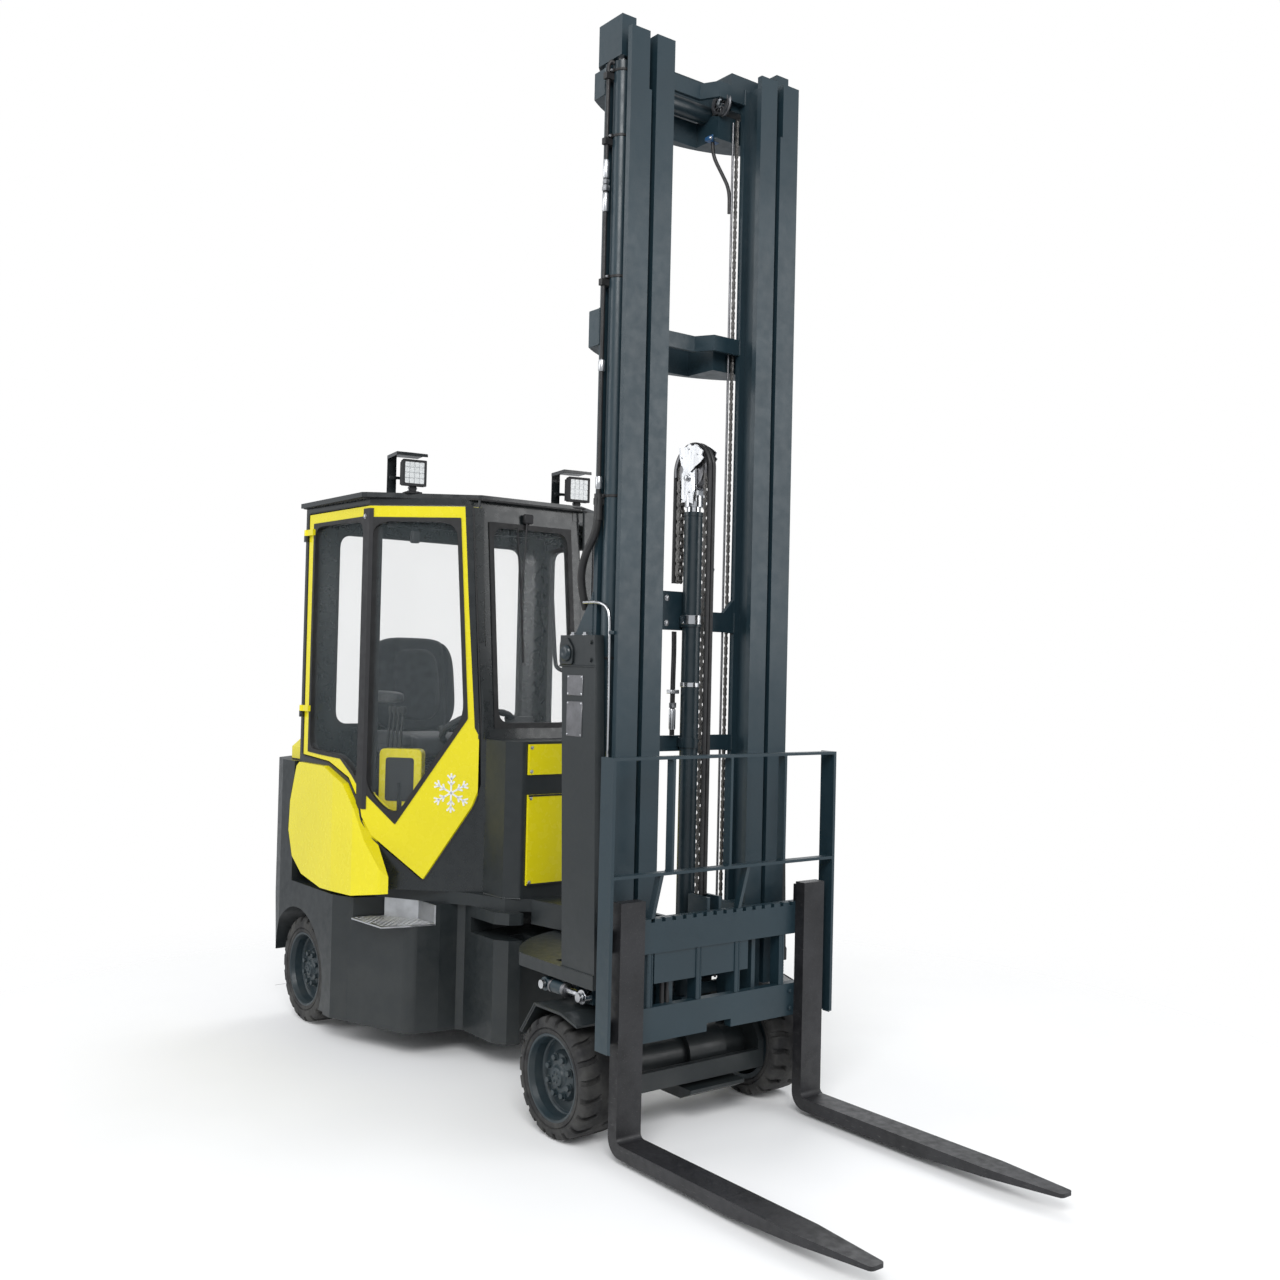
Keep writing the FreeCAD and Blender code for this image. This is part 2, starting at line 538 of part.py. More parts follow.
def rim(side, axle_y, tyre_r, rim_r, x_in, x_out):
    """A deep dish wheel turned about its axle: barrel, disc, hub and bolt circle."""
    dish = x_out - 62.0
    profile = [(x_in + 6, rim_r - 3), (x_out - 6, rim_r - 3), (x_out - 6, rim_r - 11), (x_out - 22, rim_r - 17),
               (dish + 6, rim_r - 20), (dish, rim_r - 30), (dish + 2, 86), (dish + 20, 74), (dish + 26, 52),
               (dish + 26, HUB_PLUG_R), (dish + STUB_GAP, HUB_PLUG_R), (dish + STUB_GAP, HUB_BORE_R), (x_in + 30, HUB_BORE_R),
               (x_in + 30, 78), (dish - 12, 88), (dish - 12, rim_r - 32), (x_in + 6, rim_r - 20)]
    wire = Part.makePolygon([V(side * x, 0, r) for x, r in profile + profile[:1]])
    wheel = Part.Face(wire).revolve(V(0, 0, 0), V(1, 0, 0), 360)
    ends = sorted((side * (dish + STUB_GAP), side * (dish + 26)))
    bolts = [rod_x(HUB_PLUG_R, *ends, 0, 0)]
    for k in range(8):
        angle = 2 * math.pi * (k + 0.5) / 8
        y = 64 * math.cos(angle)
        z = 64 * math.sin(angle)
        x0 = dish + 14 if side > 0 else -dish - 30
        bolts.append(rod_x(7, x0, x0 + 16, y, z))
    wheel = fuse([wheel] + bolts)
    wheel.translate(V(0, axle_y, tyre_r))
    return wheel


def tyre(side, axle_y, tyre_r, rim_r, x_in, x_out):
    """A press-on industrial tyre turned about its axle, with a row of lug grooves at each shoulder."""
    shoulder = 22.0
    profile = [(x_in, rim_r), (x_out, rim_r), (x_out, tyre_r - shoulder), (x_out - 7, tyre_r - 5),
               (x_out - 17, tyre_r), (x_in + 17, tyre_r), (x_in + 7, tyre_r - 5), (x_in, tyre_r - shoulder)]
    inner = [(x_in, rim_r - 3), (x_out, rim_r - 3)]
    points = inner + profile[1:] + profile[:1]
    wire = Part.makePolygon([V(side * x, 0, r) for x, r in points + points[:1]])
    ring = Part.Face(wire).revolve(V(0, 0, 0), V(1, 0, 0), 360)
    grooves = []
    for k in range(LUG_COUNT):
        for x0, x1, lead in ((x_out - 44, x_out + 2, 0.0), (x_in - 2, x_in + 44, 0.5)):
            groove = box(min(side * x0, side * x1), max(side * x0, side * x1), -6, 6,
                         tyre_r - LUG_DEPTH, tyre_r + 5)
            groove.rotate(V(0, 0, 0), V(1, 0, 0), 360.0 * (k + lead) / LUG_COUNT)
            grooves.append(groove)
    ring = ring.cut(Part.makeCompound(grooves))
    ring.translate(V(0, axle_y, tyre_r))
    return ring


# Carriage

def carriage():
    y0 = BAR_FACE_Y
    y1 = BAR_FACE_Y + BAR_THICK
    upper_z = LOWER_BAR_Z + CARRIAGE_SIZE
    upper = box(-BAR_HALF, BAR_HALF, y0, y1, upper_z - BAR_HEIGHT, upper_z)
    step = 2 * (BAR_HALF - 30) / (NOTCH_COUNT - 1)
    notches = [box(-BAR_HALF + 30 + k * step - 8, -BAR_HALF + 30 + k * step + 8, y0 - 1, y0 + 14, upper_z - 12,
                   upper_z + 1) for k in range(NOTCH_COUNT)]
    upper = upper.cut(Part.makeCompound(notches))
    lower = box(-BAR_HALF, BAR_HALF, y0, y1, LOWER_BAR_Z, LOWER_BAR_Z + BAR_HEIGHT)
    lower = lower.cut(box(-50, 60, y0 - 1, y1 + 1, LOWER_BAR_Z - 1, LOWER_BAR_Z + 28))
    pieces = [upper, lower]
    for x in (-300.0, -88.0, 88.0, 300.0):
        pieces.append(box(x - 9, x + 9, y0 + 4, y1 + 20, LOWER_BAR_Z + 20, upper_z - 20))
    cover = box(-280, 140, y0 + 6, y1, COVER_Z, upper_z - BAR_HEIGHT)
    pieces.append(cover)
    # cheeks of the chain's anchor
    for x in (-32, 20):
        pieces.append(box(x, x + 12, y1 - 1, -102, CHAIN_FOOT_Z - 90, CHAIN_FOOT_Z + 10))
    strand_y = RAM_Y - SHEAVE_R
    chain_way = box(-CHAIN_WIDTH / 2 - 3.5, CHAIN_WIDTH / 2 + 3.5, strand_y - CHAIN_THICK - 5, strand_y + 5,
                    CHAIN_FOOT_Z - 91, CHAIN_FOOT_Z - 71)
    pieces.append(box(-32, 32, y1 - 1, -102, CHAIN_FOOT_Z - 90, CHAIN_FOOT_Z - 72).cut(chain_way))
    for side in (-1, 1):
        x0 = ARM_OUT_X - ARM_THICK if side > 0 else -ARM_OUT_X
        pieces.append(box(x0, x0 + ARM_THICK, y1 - 1, RAIL_REAR_Y - FLANGE - 14, LOWER_BAR_Z + 40, upper_z - 10))
        for z in (LOWER_BAR_Z + 90, upper_z - 60):
            reach = INNER_WEB_X - WEB - ROLLER_GAP
            radius = RAIL_DEPTH / 2 - FLANGE - ROLLER_GAP
            low = ARM_OUT_X if side > 0 else -reach
            high = reach if side > 0 else -ARM_OUT_X
            pieces.append(rod_x(radius, low, high, RAIL_FRONT_Y + RAIL_DEPTH / 2, z))
    return fuse(pieces)


def load_backrest():
    y0 = REST_FACE_Y
    y1 = REST_FACE_Y + REST_DEPTH
    side = box(-REST_HALF, -REST_HALF + 12, y0, y1, 353, REST_TOP_Z)
    pieces = pair(side)
    pieces.append(box(-REST_HALF, REST_HALF, y0, y0 + REST_BAR, REST_TOP_Z - 10, REST_TOP_Z))
    pieces.append(box(-REST_HALF, REST_HALF, y0, y0 + REST_BAR, REST_MID_Z - 10, REST_MID_Z))
    upper_z = LOWER_BAR_Z + CARRIAGE_SIZE
    for x in (-255.0, 0.0, 255.0):
        pieces.append(box(x - 5, x + 5, y0, y0 + REST_BAR, REST_MID_Z - 1, REST_TOP_Z - 9))
    # struts from the middle bar down to the carriage's upper bar
    for x in (-300.0, 85.0):
        strut = prism_x([(y0 + 6, REST_MID_Z - 8), (y0 + REST_BAR, REST_MID_Z - 8),
                         (BAR_FACE_Y + 26, upper_z), (BAR_FACE_Y + 2, upper_z)], x, x + 14)
        pieces.append(strut)
    for side_x in (-1, 1):
        for z in (upper_z - BAR_HEIGHT + 20, LOWER_BAR_Z + 20):
            low = -REST_HALF if side_x < 0 else BAR_HALF
            high = -BAR_HALF if side_x < 0 else REST_HALF
            pieces.append(box(low, high, BAR_FACE_Y, BAR_FACE_Y + 18, z, z + BAR_HEIGHT - 40))
    return fuse(pieces)


def fork(side):
    """One forged fork arm: shank, heel, and a blade that tapers in width and thickness."""
    tip_y = FORK_FACE_Y - FORK_LENGTH
    low = FORK_TOP_Z - FORK_THICK
    taper_y = FORK_FACE_Y - FORK_LENGTH * 0.5
    heel = 60.0
    lines = [Part.LineSegment(V(0, BAR_FACE_Y, FORK_SHANK_TOP_Z), V(0, BAR_FACE_Y, low + heel)),
             Part.Arc(V(0, BAR_FACE_Y, low + heel),
                      V(0, BAR_FACE_Y - heel * (1 - math.sqrt(0.5)), low + heel * (1 - math.sqrt(0.5))),
                      V(0, BAR_FACE_Y - heel, low)),
             Part.LineSegment(V(0, BAR_FACE_Y - heel, low), V(0, taper_y, low)),
             Part.LineSegment(V(0, taper_y, low), V(0, tip_y, FORK_TOP_Z - FORK_TIP_THICK)),
             Part.LineSegment(V(0, tip_y, FORK_TOP_Z - FORK_TIP_THICK), V(0, tip_y, FORK_TOP_Z)),
             Part.LineSegment(V(0, tip_y, FORK_TOP_Z), V(0, FORK_FACE_Y - 18, FORK_TOP_Z)),
             Part.Arc(V(0, FORK_FACE_Y - 18, FORK_TOP_Z), V(0, FORK_FACE_Y - 5.3, FORK_TOP_Z + 5.3),
                      V(0, FORK_FACE_Y, FORK_TOP_Z + 18)),
             Part.LineSegment(V(0, FORK_FACE_Y, FORK_TOP_Z + 18), V(0, FORK_FACE_Y, FORK_SHANK_TOP_Z)),
             Part.LineSegment(V(0, FORK_FACE_Y, FORK_SHANK_TOP_Z), V(0, BAR_FACE_Y, FORK_SHANK_TOP_Z))]
    blade = Part.Face(Part.Wire([line.toShape() for line in lines])).extrude(V(FORK_WIDTH, 0, 0))
    blade.translate(V(-FORK_OUTER_X, 0, 0))
    narrow = (FORK_WIDTH - FORK_TIP_WIDTH) / 2
    start_y = FORK_FACE_Y - FORK_LENGTH * 0.75
    for edge_x, inward in ((-FORK_OUTER_X, 1), (-FORK_OUTER_X + FORK_WIDTH, -1)):
        cutter = prism_z([(edge_x, start_y), (edge_x + inward * narrow, tip_y),
                          (edge_x + inward * narrow, tip_y - 20), (edge_x - inward * 20, tip_y - 20),
                          (edge_x - inward * 20, start_y)], 0, 200)
        blade = blade.cut(cutter)
    blade = round_edges(blade, 14, lambda e: upright(e) and e.Vertexes[0].Point.y < tip_y + 1)
    upper_z = LOWER_BAR_Z + CARRIAGE_SIZE
    middle = -FORK_OUTER_X + FORK_WIDTH / 2
    hook = prism_x([(BAR_FACE_Y - 1, FORK_SHANK_TOP_Z - 12), (BAR_FACE_Y + 22, FORK_SHANK_TOP_Z - 12),
                    (BAR_FACE_Y + 22, upper_z + 0.3), (BAR_FACE_Y - 1, upper_z + 0.3)], middle - 40, middle + 40)
    arm = fuse([blade, hook])
    return arm if side < 0 else mirror(arm)


# Body

def swing_way():
    """The space in the nose that the swing plate sweeps."""
    reach = math.hypot(PLATE_HALF, PLATE_CORNER_Y - KING_PIN_Y) + SWING_GAP
    low = PLATE_TOP_Z - PLATE_THICK - SWING_GAP
    high = PLATE_TOP_Z + SWING_GAP
    turned = box(-NOSE_SIDE_X, NOSE_SIDE_X, KING_PIN_Y, KING_PIN_Y + PLATE_HALF + SWING_GAP, low, high)
    return rod_z(reach, 0, KING_PIN_Y, low, high).fuse(turned)


def chassis():
    """The lower body: a narrow nose that the front tyres fold against, then the full width."""
    outline = both(SKIRT_HALF + [(-FRAME_HALF, ARCH_FRONT_Y), (-FRAME_HALF, CW_FRONT_Y), (0, CW_FRONT_Y)])
    skirt = prism_z(outline, SKIRT_Z, DECK_Z)
    skirt = round_edges(skirt, 60, lambda e: upright(e) and 1060 < e.Vertexes[0].Point.y < 1120)
    nose_recess = box(-NOSE_RECESS_HALF, NOSE_RECESS_HALF, 700, 830, SKIRT_Z - 1, DECK_Z + 1)
    top = PLATE_TOP_Z - PLATE_THICK - SWING_GAP
    jaw = prism_z([(-120, 840), (-PIN_BOSS_R, KING_PIN_Y), (PIN_BOSS_R, KING_PIN_Y), (120, 840)], 400, top)
    jaw = jaw.fuse(rod_z(PIN_BOSS_R, 0, KING_PIN_Y, 400, top))
    step_cut = prism_z([(-700, 1080), (-392, 1040), (-392, 1190), (-480, 1330), (-700, 1390)], STEP_Z, DECK_Z + 1)
    pin_hole = rod_z(PIN_R, 0, KING_PIN_Y, 0, DECK_Z)
    return fuse([skirt.cut(nose_recess), jaw]).cut([swing_way(), step_cut, pin_hole])


def chassis_deck():
    """The thick plate over the nose, with the upper jaw of the pivot."""
    deck = prism_z(both(DECK_HALF), DECK_Z, DECK_Z + DECK_THICK)
    low = PLATE_TOP_Z + SWING_GAP
    boss_r = PIN_BOSS_R + 15
    jaw = prism_z([(-150, 720), (-boss_r, KING_PIN_Y), (boss_r, KING_PIN_Y), (150, 720)], low, DECK_Z + DECK_THICK)
    jaw = jaw.fuse(rod_z(boss_r, 0, KING_PIN_Y, low, DECK_Z + DECK_THICK))
    pin_hole = rod_z(PIN_R, 0, KING_PIN_Y, 0, DECK_Z + DECK_THICK + 1)
    return fuse([deck, jaw]).cut(pin_hole)


def king_pin():
    top = DECK_Z + DECK_THICK
    return fuse([rod_z(PIN_R, 0, KING_PIN_Y, 396, top + 12), rod_z(PIN_R + 22, 0, KING_PIN_Y, top, top + 22)])


def nose_housing():
    housing = prism_z(both(NOSE_HALF), DECK_Z + DECK_THICK, HOUSING_TOP_Z)
    return round_edges(housing, 30, lambda e: upright(e) and e.Vertexes[0].Point.y < 760)


def nose_panels():
    front = NOSE_HALF[0][1]
    lower = box(-168, 168, front - 12, front, 715, 1074)
    upper = box(-168, 168, front - 12, front, 1154, 1275)
    return [lower, upper]


def facet_y(x):
    """Where the slanting front wall of the cab stands at a distance x from the middle."""
    return 968.0 + (x - 262.0) * 332.0 / 350.0


def wheel_way(side):
    x0, x1 = (-BODY_HALF - 20, -FRAME_HALF) if side < 0 else (FRAME_HALF, BODY_HALF + 20)
    return rod_x(REAR_TYRE_R + ARCH_GAP, x0, x1, WHEELBASE, REAR_TYRE_R)


def counterweight():
    """One casting: the tail block and the cheeks that reach forward over the rear wheels."""
    plan = [(0, CW_FRONT_Y), (-FRAME_HALF, CW_FRONT_Y), (-FRAME_HALF, ARCH_FRONT_Y), (-BODY_HALF, ARCH_FRONT_Y),
            (-BODY_HALF, 2030), (-620, 2150), (-540, 2215), (-FRAME_HALF, TAIL_Y - 12), (0, TAIL_Y)]
    block = prism_z(both(plan), 110, CW_TOP_Z)
    # tail seen from the side: it draws in towards the ground
    side = prism_x([(ARCH_FRONT_Y - 10, 90), (2075, 90), (2110, 330), (2200, 760), (TAIL_Y + 1, 1000),
                    (TAIL_Y + 1, 1180), (ARCH_FRONT_Y - 10, 1180)], -BODY_HALF - 10, BODY_HALF + 10)
    panel_way = box(-BODY_HALF - 10, BODY_HALF + 10, ARCH_FRONT_Y - 20, CW_FRONT_Y, DECK_Z, CW_TOP_Z + 1)
    wing_space = [wing_shape(-1, 4.0), wing_shape(1, 4.0)]
    pocket = box(-TOW_HALF - 15, TOW_HALF + 15, TOW_BACK_Y, TAIL_Y + 2, TOW_Z - 75, TOW_Z + 75)
    block = block.common(side)
    return block.cut([panel_way, wheel_way(-1), wheel_way(1), pocket] + wing_space)


def rear_frame():
    """Power unit and seat box: the heavy inner block behind the footwell."""
    return box(-BAY_HALF, BAY_HALF, BAY_FRONT_Y, CW_FRONT_Y, DECK_Z + DECK_THICK, SEAT_BOX_Z)


def wing_shape(side, grow):
    """Side panel under the door: its plan and its side outline, met in one solid."""
    plan = prism_z([(-BAY_HALF, 1150), (-590, 1175), (-638, 1330), (-BODY_HALF, 1500), (-BODY_HALF, 1960 + grow),
                    (-BAY_HALF, 1960 + grow)], WING_LOW_Z - 10 - grow, CW_TOP_Z + 20)
    g = grow
    outline = prism_x([(1150, 655), (1330, 628), (1600, WING_LOW_Z - g), (1800, 655 - g), (1905 + g, 720),
                       (1950 + g, 830), (1940 + g, 960), (1880 + g, 1120), (1850 + g, CW_TOP_Z),
                       (1600, CW_TOP_Z), (1420, 1080), (1325, 985), (1262, 860), (1150, 722)],
                      -BODY_HALF - 20, -BAY_HALF + 1)
    shape = plan.common(outline)
    return shape if side < 0 else mirror(shape)


def wing_panel():
    shape = wing_shape(-1, 0.0)
    return round_edges(shape, 22, lambda e: upright(e) and e.Vertexes[0].Point.x < -BAY_HALF - 10
                       and e.Vertexes[0].Point.y < 1200)


def side_pod():
    """Closed box in front of the left wing panel, against the cab's slanting wall."""
    plan = [(305, facet_y(305)), (590, 985), (640, 1010), (BODY_HALF, 1060), (BODY_HALF, 1146), (BAY_HALF, 1146),
            (BAY_HALF, facet_y(BAY_HALF))]
    return prism_z(plan, DECK_Z, CW_TOP_Z).cut(prism_z(both(DECK_HALF), DECK_Z, DECK_Z + DECK_THICK))


def hood():
    plan = both([(0, CW_FRONT_Y), (-606, CW_FRONT_Y), (-606, 2040), (-540, 2140), (0, 2180)])
    block = prism_z(plan, CW_TOP_Z, HOOD_TOP_Z)
    return block.makeChamfer(38, [e for e in block.Edges if e.BoundBox.ZMin > HOOD_TOP_Z - 1
                                  and e.BoundBox.YMax > 1950])


def cab_plan(inset):
    """Plan of the cab's outside, or of its inside when inset is the wall's thickness."""
    i = inset
    return both([(0, CAB_FRONT_Y + i), (-244 + 0.3 * i, CAB_FRONT_Y + i), (-262 + 0.6 * i, 968 + i),
                 (-612 + i, 1300 + 0.4 * i), (-636 + i, CAB_REAR_Y - i), (0, CAB_REAR_Y - i)])


def lean(shape):
    """The windscreen leans back: the cab above its sill is cut by the sloping plane."""
    cutter = prism_x([(CAB_FRONT_Y - 60, HOUSING_TOP_Z), (CAB_FRONT_Y, HOUSING_TOP_Z),
                      (WINDSCREEN_TOP_Y, ROOF_Z), (CAB_FRONT_Y - 60, ROOF_Z)], -400, 400)
    return shape.cut(cutter)


def door_outline(grow):
    """The door seen from the side, (y, z); grow widens it into the opening that it closes."""
    g = grow
    return [(DOOR_REAR_Y + g, DOOR_TOP_Z + g), (DOOR_REAR_Y + g, 1175 - g), (1600, 1160 - g), (1420, 1105 - g),
            (1322 + g, 1010 - g), (1272 + g, 880 - g), (1119, 708 - 1.6 * g), (985 - g, 1010), (962 - g, 1100),
            (DOOR_FRONT_Y - g, 1300), (DOOR_FRONT_Y + 40 - g, DOOR_TOP_Z + g)]


def cab_frame():
    """Hollow cab: sill walls, posts and roof rails, with the windows and the doorway cut."""
    low = DECK_Z + DECK_THICK
    shell = prism_z(cab_plan(0), low, ROOF_Z - ROOF_THICK)
    inside = prism_z(cab_plan(WALL), low + 24, ROOF_Z - ROOF_THICK - 1)
    shell = shell.cut(inside)
    top_ring = prism_z(cab_plan(0), ROOF_Z - ROOF_THICK - 46, ROOF_Z - ROOF_THICK)
    ring_way = prism_z(cab_plan(WALL + 40), ROOF_Z - ROOF_THICK - 47, ROOF_Z)
    shell = shell.fuse(top_ring.cut(ring_way))
    front_rail = prism_x([(CAB_FRONT_Y, HOUSING_TOP_Z), (CAB_FRONT_Y + WALL, HOUSING_TOP_Z),
                          (WINDSCREEN_TOP_Y + WALL, ROOF_Z - ROOF_THICK), (WINDSCREEN_TOP_Y, ROOF_Z - ROOF_THICK)],
                         -252, 252)
    shell = shell.fuse(front_rail)
    windscreen = box(-205, 205, 900, 1100, HOUSING_TOP_Z + 45, ROOF_Z - 105)
    shell = lean(shell).cut([windscreen, box(-500, 500, CAB_REAR_Y - WALL - 5, CAB_REAR_Y + 5, 1290, ROOF_Z - 110)])
    doorway = prism_x(door_outline(DOOR_GAP), -720, -235)
    knuckle_way = [rod_z(KNUCKLE_R + 0.5, -HINGE_X, HINGE_Y, z - 0.4, z + 26.5) for z in HINGE_Z]
    engine_way = box(-BAY_HALF - 0.5, BAY_HALF + 0.5, BAY_FRONT_Y, CW_FRONT_Y, low, SEAT_BOX_Z)
    foot = box(-BODY_HALF, -BAY_HALF - 0.5, 1780, CW_FRONT_Y, low - 1, low + 60)
    return shell.cut([doorway, engine_way, wing_shape(-1, 0.0), wing_shape(1, 0.0)] + left_windows() + knuckle_way
                     + pair(foot))


def door_panes():
    return [prism_x(DOOR_REAR_PANE, -720, -400), prism_x(DOOR_FRONT_PANE, -720, -235)]


def left_windows():
    return [prism_x(LEFT_REAR_WINDOW, 560, 700), prism_x(LEFT_FRONT_WINDOW, 255, 620)]


def door_wall():
    """The two-facet wall that the door is cut from."""
    outer = [(-262, 968), (-612, 1300), (-636, CAB_REAR_Y)]
    inner = [(-636 + WALL, CAB_REAR_Y), (-612 + WALL, 1300 + 0.4 * WALL), (-262 + 0.6 * WALL, 968 + WALL)]
    return prism_z(outer + inner, 690, ROOF_Z)


def door_frame():
    door = door_wall().common(prism_x(door_outline(0), -720, -235))
    door = door.cut(door_panes())
    hinges = []
    for z in HINGE_Z:
        low = z + RUN_GAP / 2
        strap = box(-HINGE_X - 4, -628, DOOR_REAR_Y - 60, DOOR_REAR_Y, low, z + 26)
        leaf = box(-HINGE_X - 4, -636.5, DOOR_REAR_Y - 1, HINGE_Y, low, z + 26)
        hinges += [strap, leaf, rod_z(KNUCKLE_R, -HINGE_X, HINGE_Y, low, z + 26)]
    return fuse([door] + hinges)


def door_glass():
    """Thin panes that stand in the door's two windows."""
    mid = prism_z([(-262 + 0.25 * WALL, 968 + 0.45 * WALL), (-612 + 0.45 * WALL, 1300 + 0.2 * WALL),
                   (-636 + 0.45 * WALL, CAB_REAR_Y), (-636 + 0.65 * WALL, CAB_REAR_Y),
                   (-612 + 0.65 * WALL, 1300 + 0.3 * WALL), (-262 + 0.4 * WALL, 968 + 0.65 * WALL)], 690, ROOF_Z)
    return [mid.common(pane) for pane in door_panes()]


def cab_hinges():
    """The fixed knuckles of the door hinges, on the rear post."""
    pieces = []
    for z in HINGE_Z:
        high = z - RUN_GAP / 2
        knuckle = rod_z(KNUCKLE_R, -HINGE_X, HINGE_Y, z - 26, high)
        leaf = box(-HINGE_X - 4, -634, HINGE_Y, CAB_REAR_Y - 2, z - 26, high)
        pieces.append(knuckle.fuse(leaf).cut(prism_z(cab_plan(0), z - 30, z)))
    return pieces


def cab_glass():
    """Windscreen, the left side's two windows and the rear window."""
    slope = (WINDSCREEN_TOP_Y - CAB_FRONT_Y) / (ROOF_Z - HOUSING_TOP_Z)
    z0 = HOUSING_TOP_Z + 45
    z1 = ROOF_Z - 105
    y0 = CAB_FRONT_Y + 12 + slope * 45
    y1 = y0 + slope * (z1 - z0)
    screen = prism_x([(y0, z0), (y0 + 6, z0), (y1 + 6, z1), (y1, z1)], -205, 205)
    rear = box(-500, 500, CAB_REAR_Y - 18, CAB_REAR_Y - 12, 1290, ROOF_Z - 110)
    mid = prism_z([(262 - 0.25 * WALL, 968 + 0.45 * WALL), (612 - 0.45 * WALL, 1300 + 0.2 * WALL),
                   (636 - 0.45 * WALL, CAB_REAR_Y), (636 - 0.65 * WALL, CAB_REAR_Y),
                   (612 - 0.65 * WALL, 1300 + 0.3 * WALL), (262 - 0.4 * WALL, 968 + 0.65 * WALL)], 690, ROOF_Z)
    return [screen, rear] + [mid.common(pane) for pane in left_windows()]


def roof():
    plan = both([(0, 1012), (-252, 1012), (-262, 1022), (-636, 1282), (-650, 1300), (-655, 1900), (0, 1905)])
    return prism_z(plan, ROOF_Z - ROOF_THICK, ROOF_Z)


def steps():
    """Tread and riser of chequered plate on the driver's side."""
    tread = prism_z([(-612, 1098), (-500, 1066), (-394, 1050), (-394, 1184), (-478, 1322), (-600, 1345),
                     (-628, 1335)], STEP_Z, STEP_Z + 6)
    riser = prism_z([(-400, 1052), (-394, 1050), (-394, 1190), (-480, 1326), (-486, 1322), (-400, 1188)],
                    STEP_Z + 6, DECK_Z - 2)
    return fuse([tread, riser])


def seat():
    """Cushion, back and armrest, as closed soft forms."""
    x0, x1 = SEAT_X - SEAT_HALF, SEAT_X + SEAT_HALF
    cushion = box(x0, x1, 1390, 1780, SEAT_BOX_Z + 60, SEAT_BOX_Z + 170)
    base = box(x0 + 40, x1 - 40, 1430, 1760, SEAT_BOX_Z, SEAT_BOX_Z + 60)
    back = prism_x([(1700, SEAT_BOX_Z + 150), (1790, SEAT_BOX_Z + 150), (1836, 1690), (1772, 1700)], x0, x1)
    back = round_edges(back, 90, lambda e: e.Length < 120 and e.BoundBox.ZMin > 1680)
    arm = box(x0 - 62, x0 - 6, 1400, 1690, SEAT_BOX_Z + 270, SEAT_BOX_Z + 315)
    stalk = box(x0 - 50, x0 + 10, 1640, 1690, SEAT_BOX_Z + 120, SEAT_BOX_Z + 272)
    return fuse([base, cushion, back, arm, stalk])


def console():
    """Steering column with its wheel, and the lever console beside the seat."""
    low = DECK_Z + DECK_THICK + 24
    column = prism_x([(1000, low), (1080, low), (1150, 1285), (1095, 1300)], SEAT_X - 40, SEAT_X + 40)
    ring = Part.makeTorus(STEER_RING_R, 13)
    spoke = box(-STEER_RING_R, STEER_RING_R, -14, 14, -8, 8)
    hub = rod_z(38, 0, 0, -40, 16)
    wheel = fuse([ring, spoke, hub])
    wheel.rotate(V(0, 0, 0), V(1, 0, 0), STEER_TILT)
    wheel.translate(V(SEAT_X, 1140, STEER_Z))
    panel = box(-470, -400, 1255, BAY_FRONT_Y, low, 1090)
    return [fuse([column, wheel]), panel]


def work_lamps():
    """Two square lamps on U brackets with a visor, on the roof's front corners."""
    lamps = []
    for x, y in LAMP_PLACES:
        foot = box(-22, 22, -30, 30, 0, 8)
        post = box(-9, 9, -4, 8, 0, 60)
        arch = box(-62, 62, 6, 14, 44, 60).fuse(box(-62, -54, -30, 14, 44, 190))
        visor = box(-62, 66, -86, 14, 182, 190)
        case = box(-46, 48, -44, 4, 66, 160)
        bolt = rod_x(8, -56, -40, -20, 112)
        lamp = fuse([foot, post, arch, visor, case, bolt])
        lamp.rotate(V(0, 0, 0), V(0, 0, 1), LAMP_TURN)
        lamp.translate(V(x, y, ROOF_Z))
        lamps.append(lamp)
    return lamps


def tow_bracket():
    """Two lugs with a bore for a tow pin, in a pocket of the tail."""
    back = box(-TOW_HALF, TOW_HALF, TOW_BACK_Y, TOW_BACK_Y + 20, TOW_Z - 70, TOW_Z + 70)
    lugs = []
    for z in (TOW_Z - 65, TOW_Z + 40):
        lug = box(-TOW_HALF, TOW_HALF, TOW_BACK_Y + 18, TOW_PIN_Y, z, z + 25)
        lugs.append(lug.fuse(rod_z(TOW_HALF, 0, TOW_PIN_Y, z, z + 25)))
    return fuse([back] + lugs).cut(rod_z(TOW_BORE_R, 0, TOW_PIN_Y, TOW_Z - 70, TOW_Z + 70))


def rear_axle():
    half = FRAME_HALF
    stub = [rod_x(HUB_BORE_R - STUB_GAP, *ends, WHEELBASE, REAR_TYRE_R)
            for ends in ((-REAR_TYRE_OUT + 62, -half), (half, REAR_TYRE_OUT - 62))]
    return stub


def hose(points, radius):
    """A hose along straight runs joined by tangent arcs."""
    edges = []
    start = points[0]
    for before, corner, after in zip(points, points[1:], points[2:]):
        a, c, b = V(*before), V(*corner), V(*after)
        u = (a - c).normalize()
        w = (b - c).normalize()
        turn = math.pi - u.getAngle(w)
        reach = 0.45 * min(a.distanceToPoint(c), b.distanceToPoint(c))
        bend_r = reach / math.tan(turn / 2)
        p0 = c + u * reach
        p1 = c + w * reach
        middle = c + (u + w).normalize() * (bend_r / math.cos(turn / 2) - bend_r)
        edges.append(Part.LineSegment(V(*start), p0).toShape())
        edges.append(Part.Arc(p0, middle, p1).toShape())
        start = tuple(p1)
    edges.append(Part.LineSegment(V(*start), V(*points[-1])).toShape())
    path = Part.Wire(edges)
    tangent = V(*points[1]) - V(*points[0])
    circle = Part.Wire([Part.makeCircle(radius, V(*points[0]), tangent)])
    return path.makePipeShell([circle], True, False)


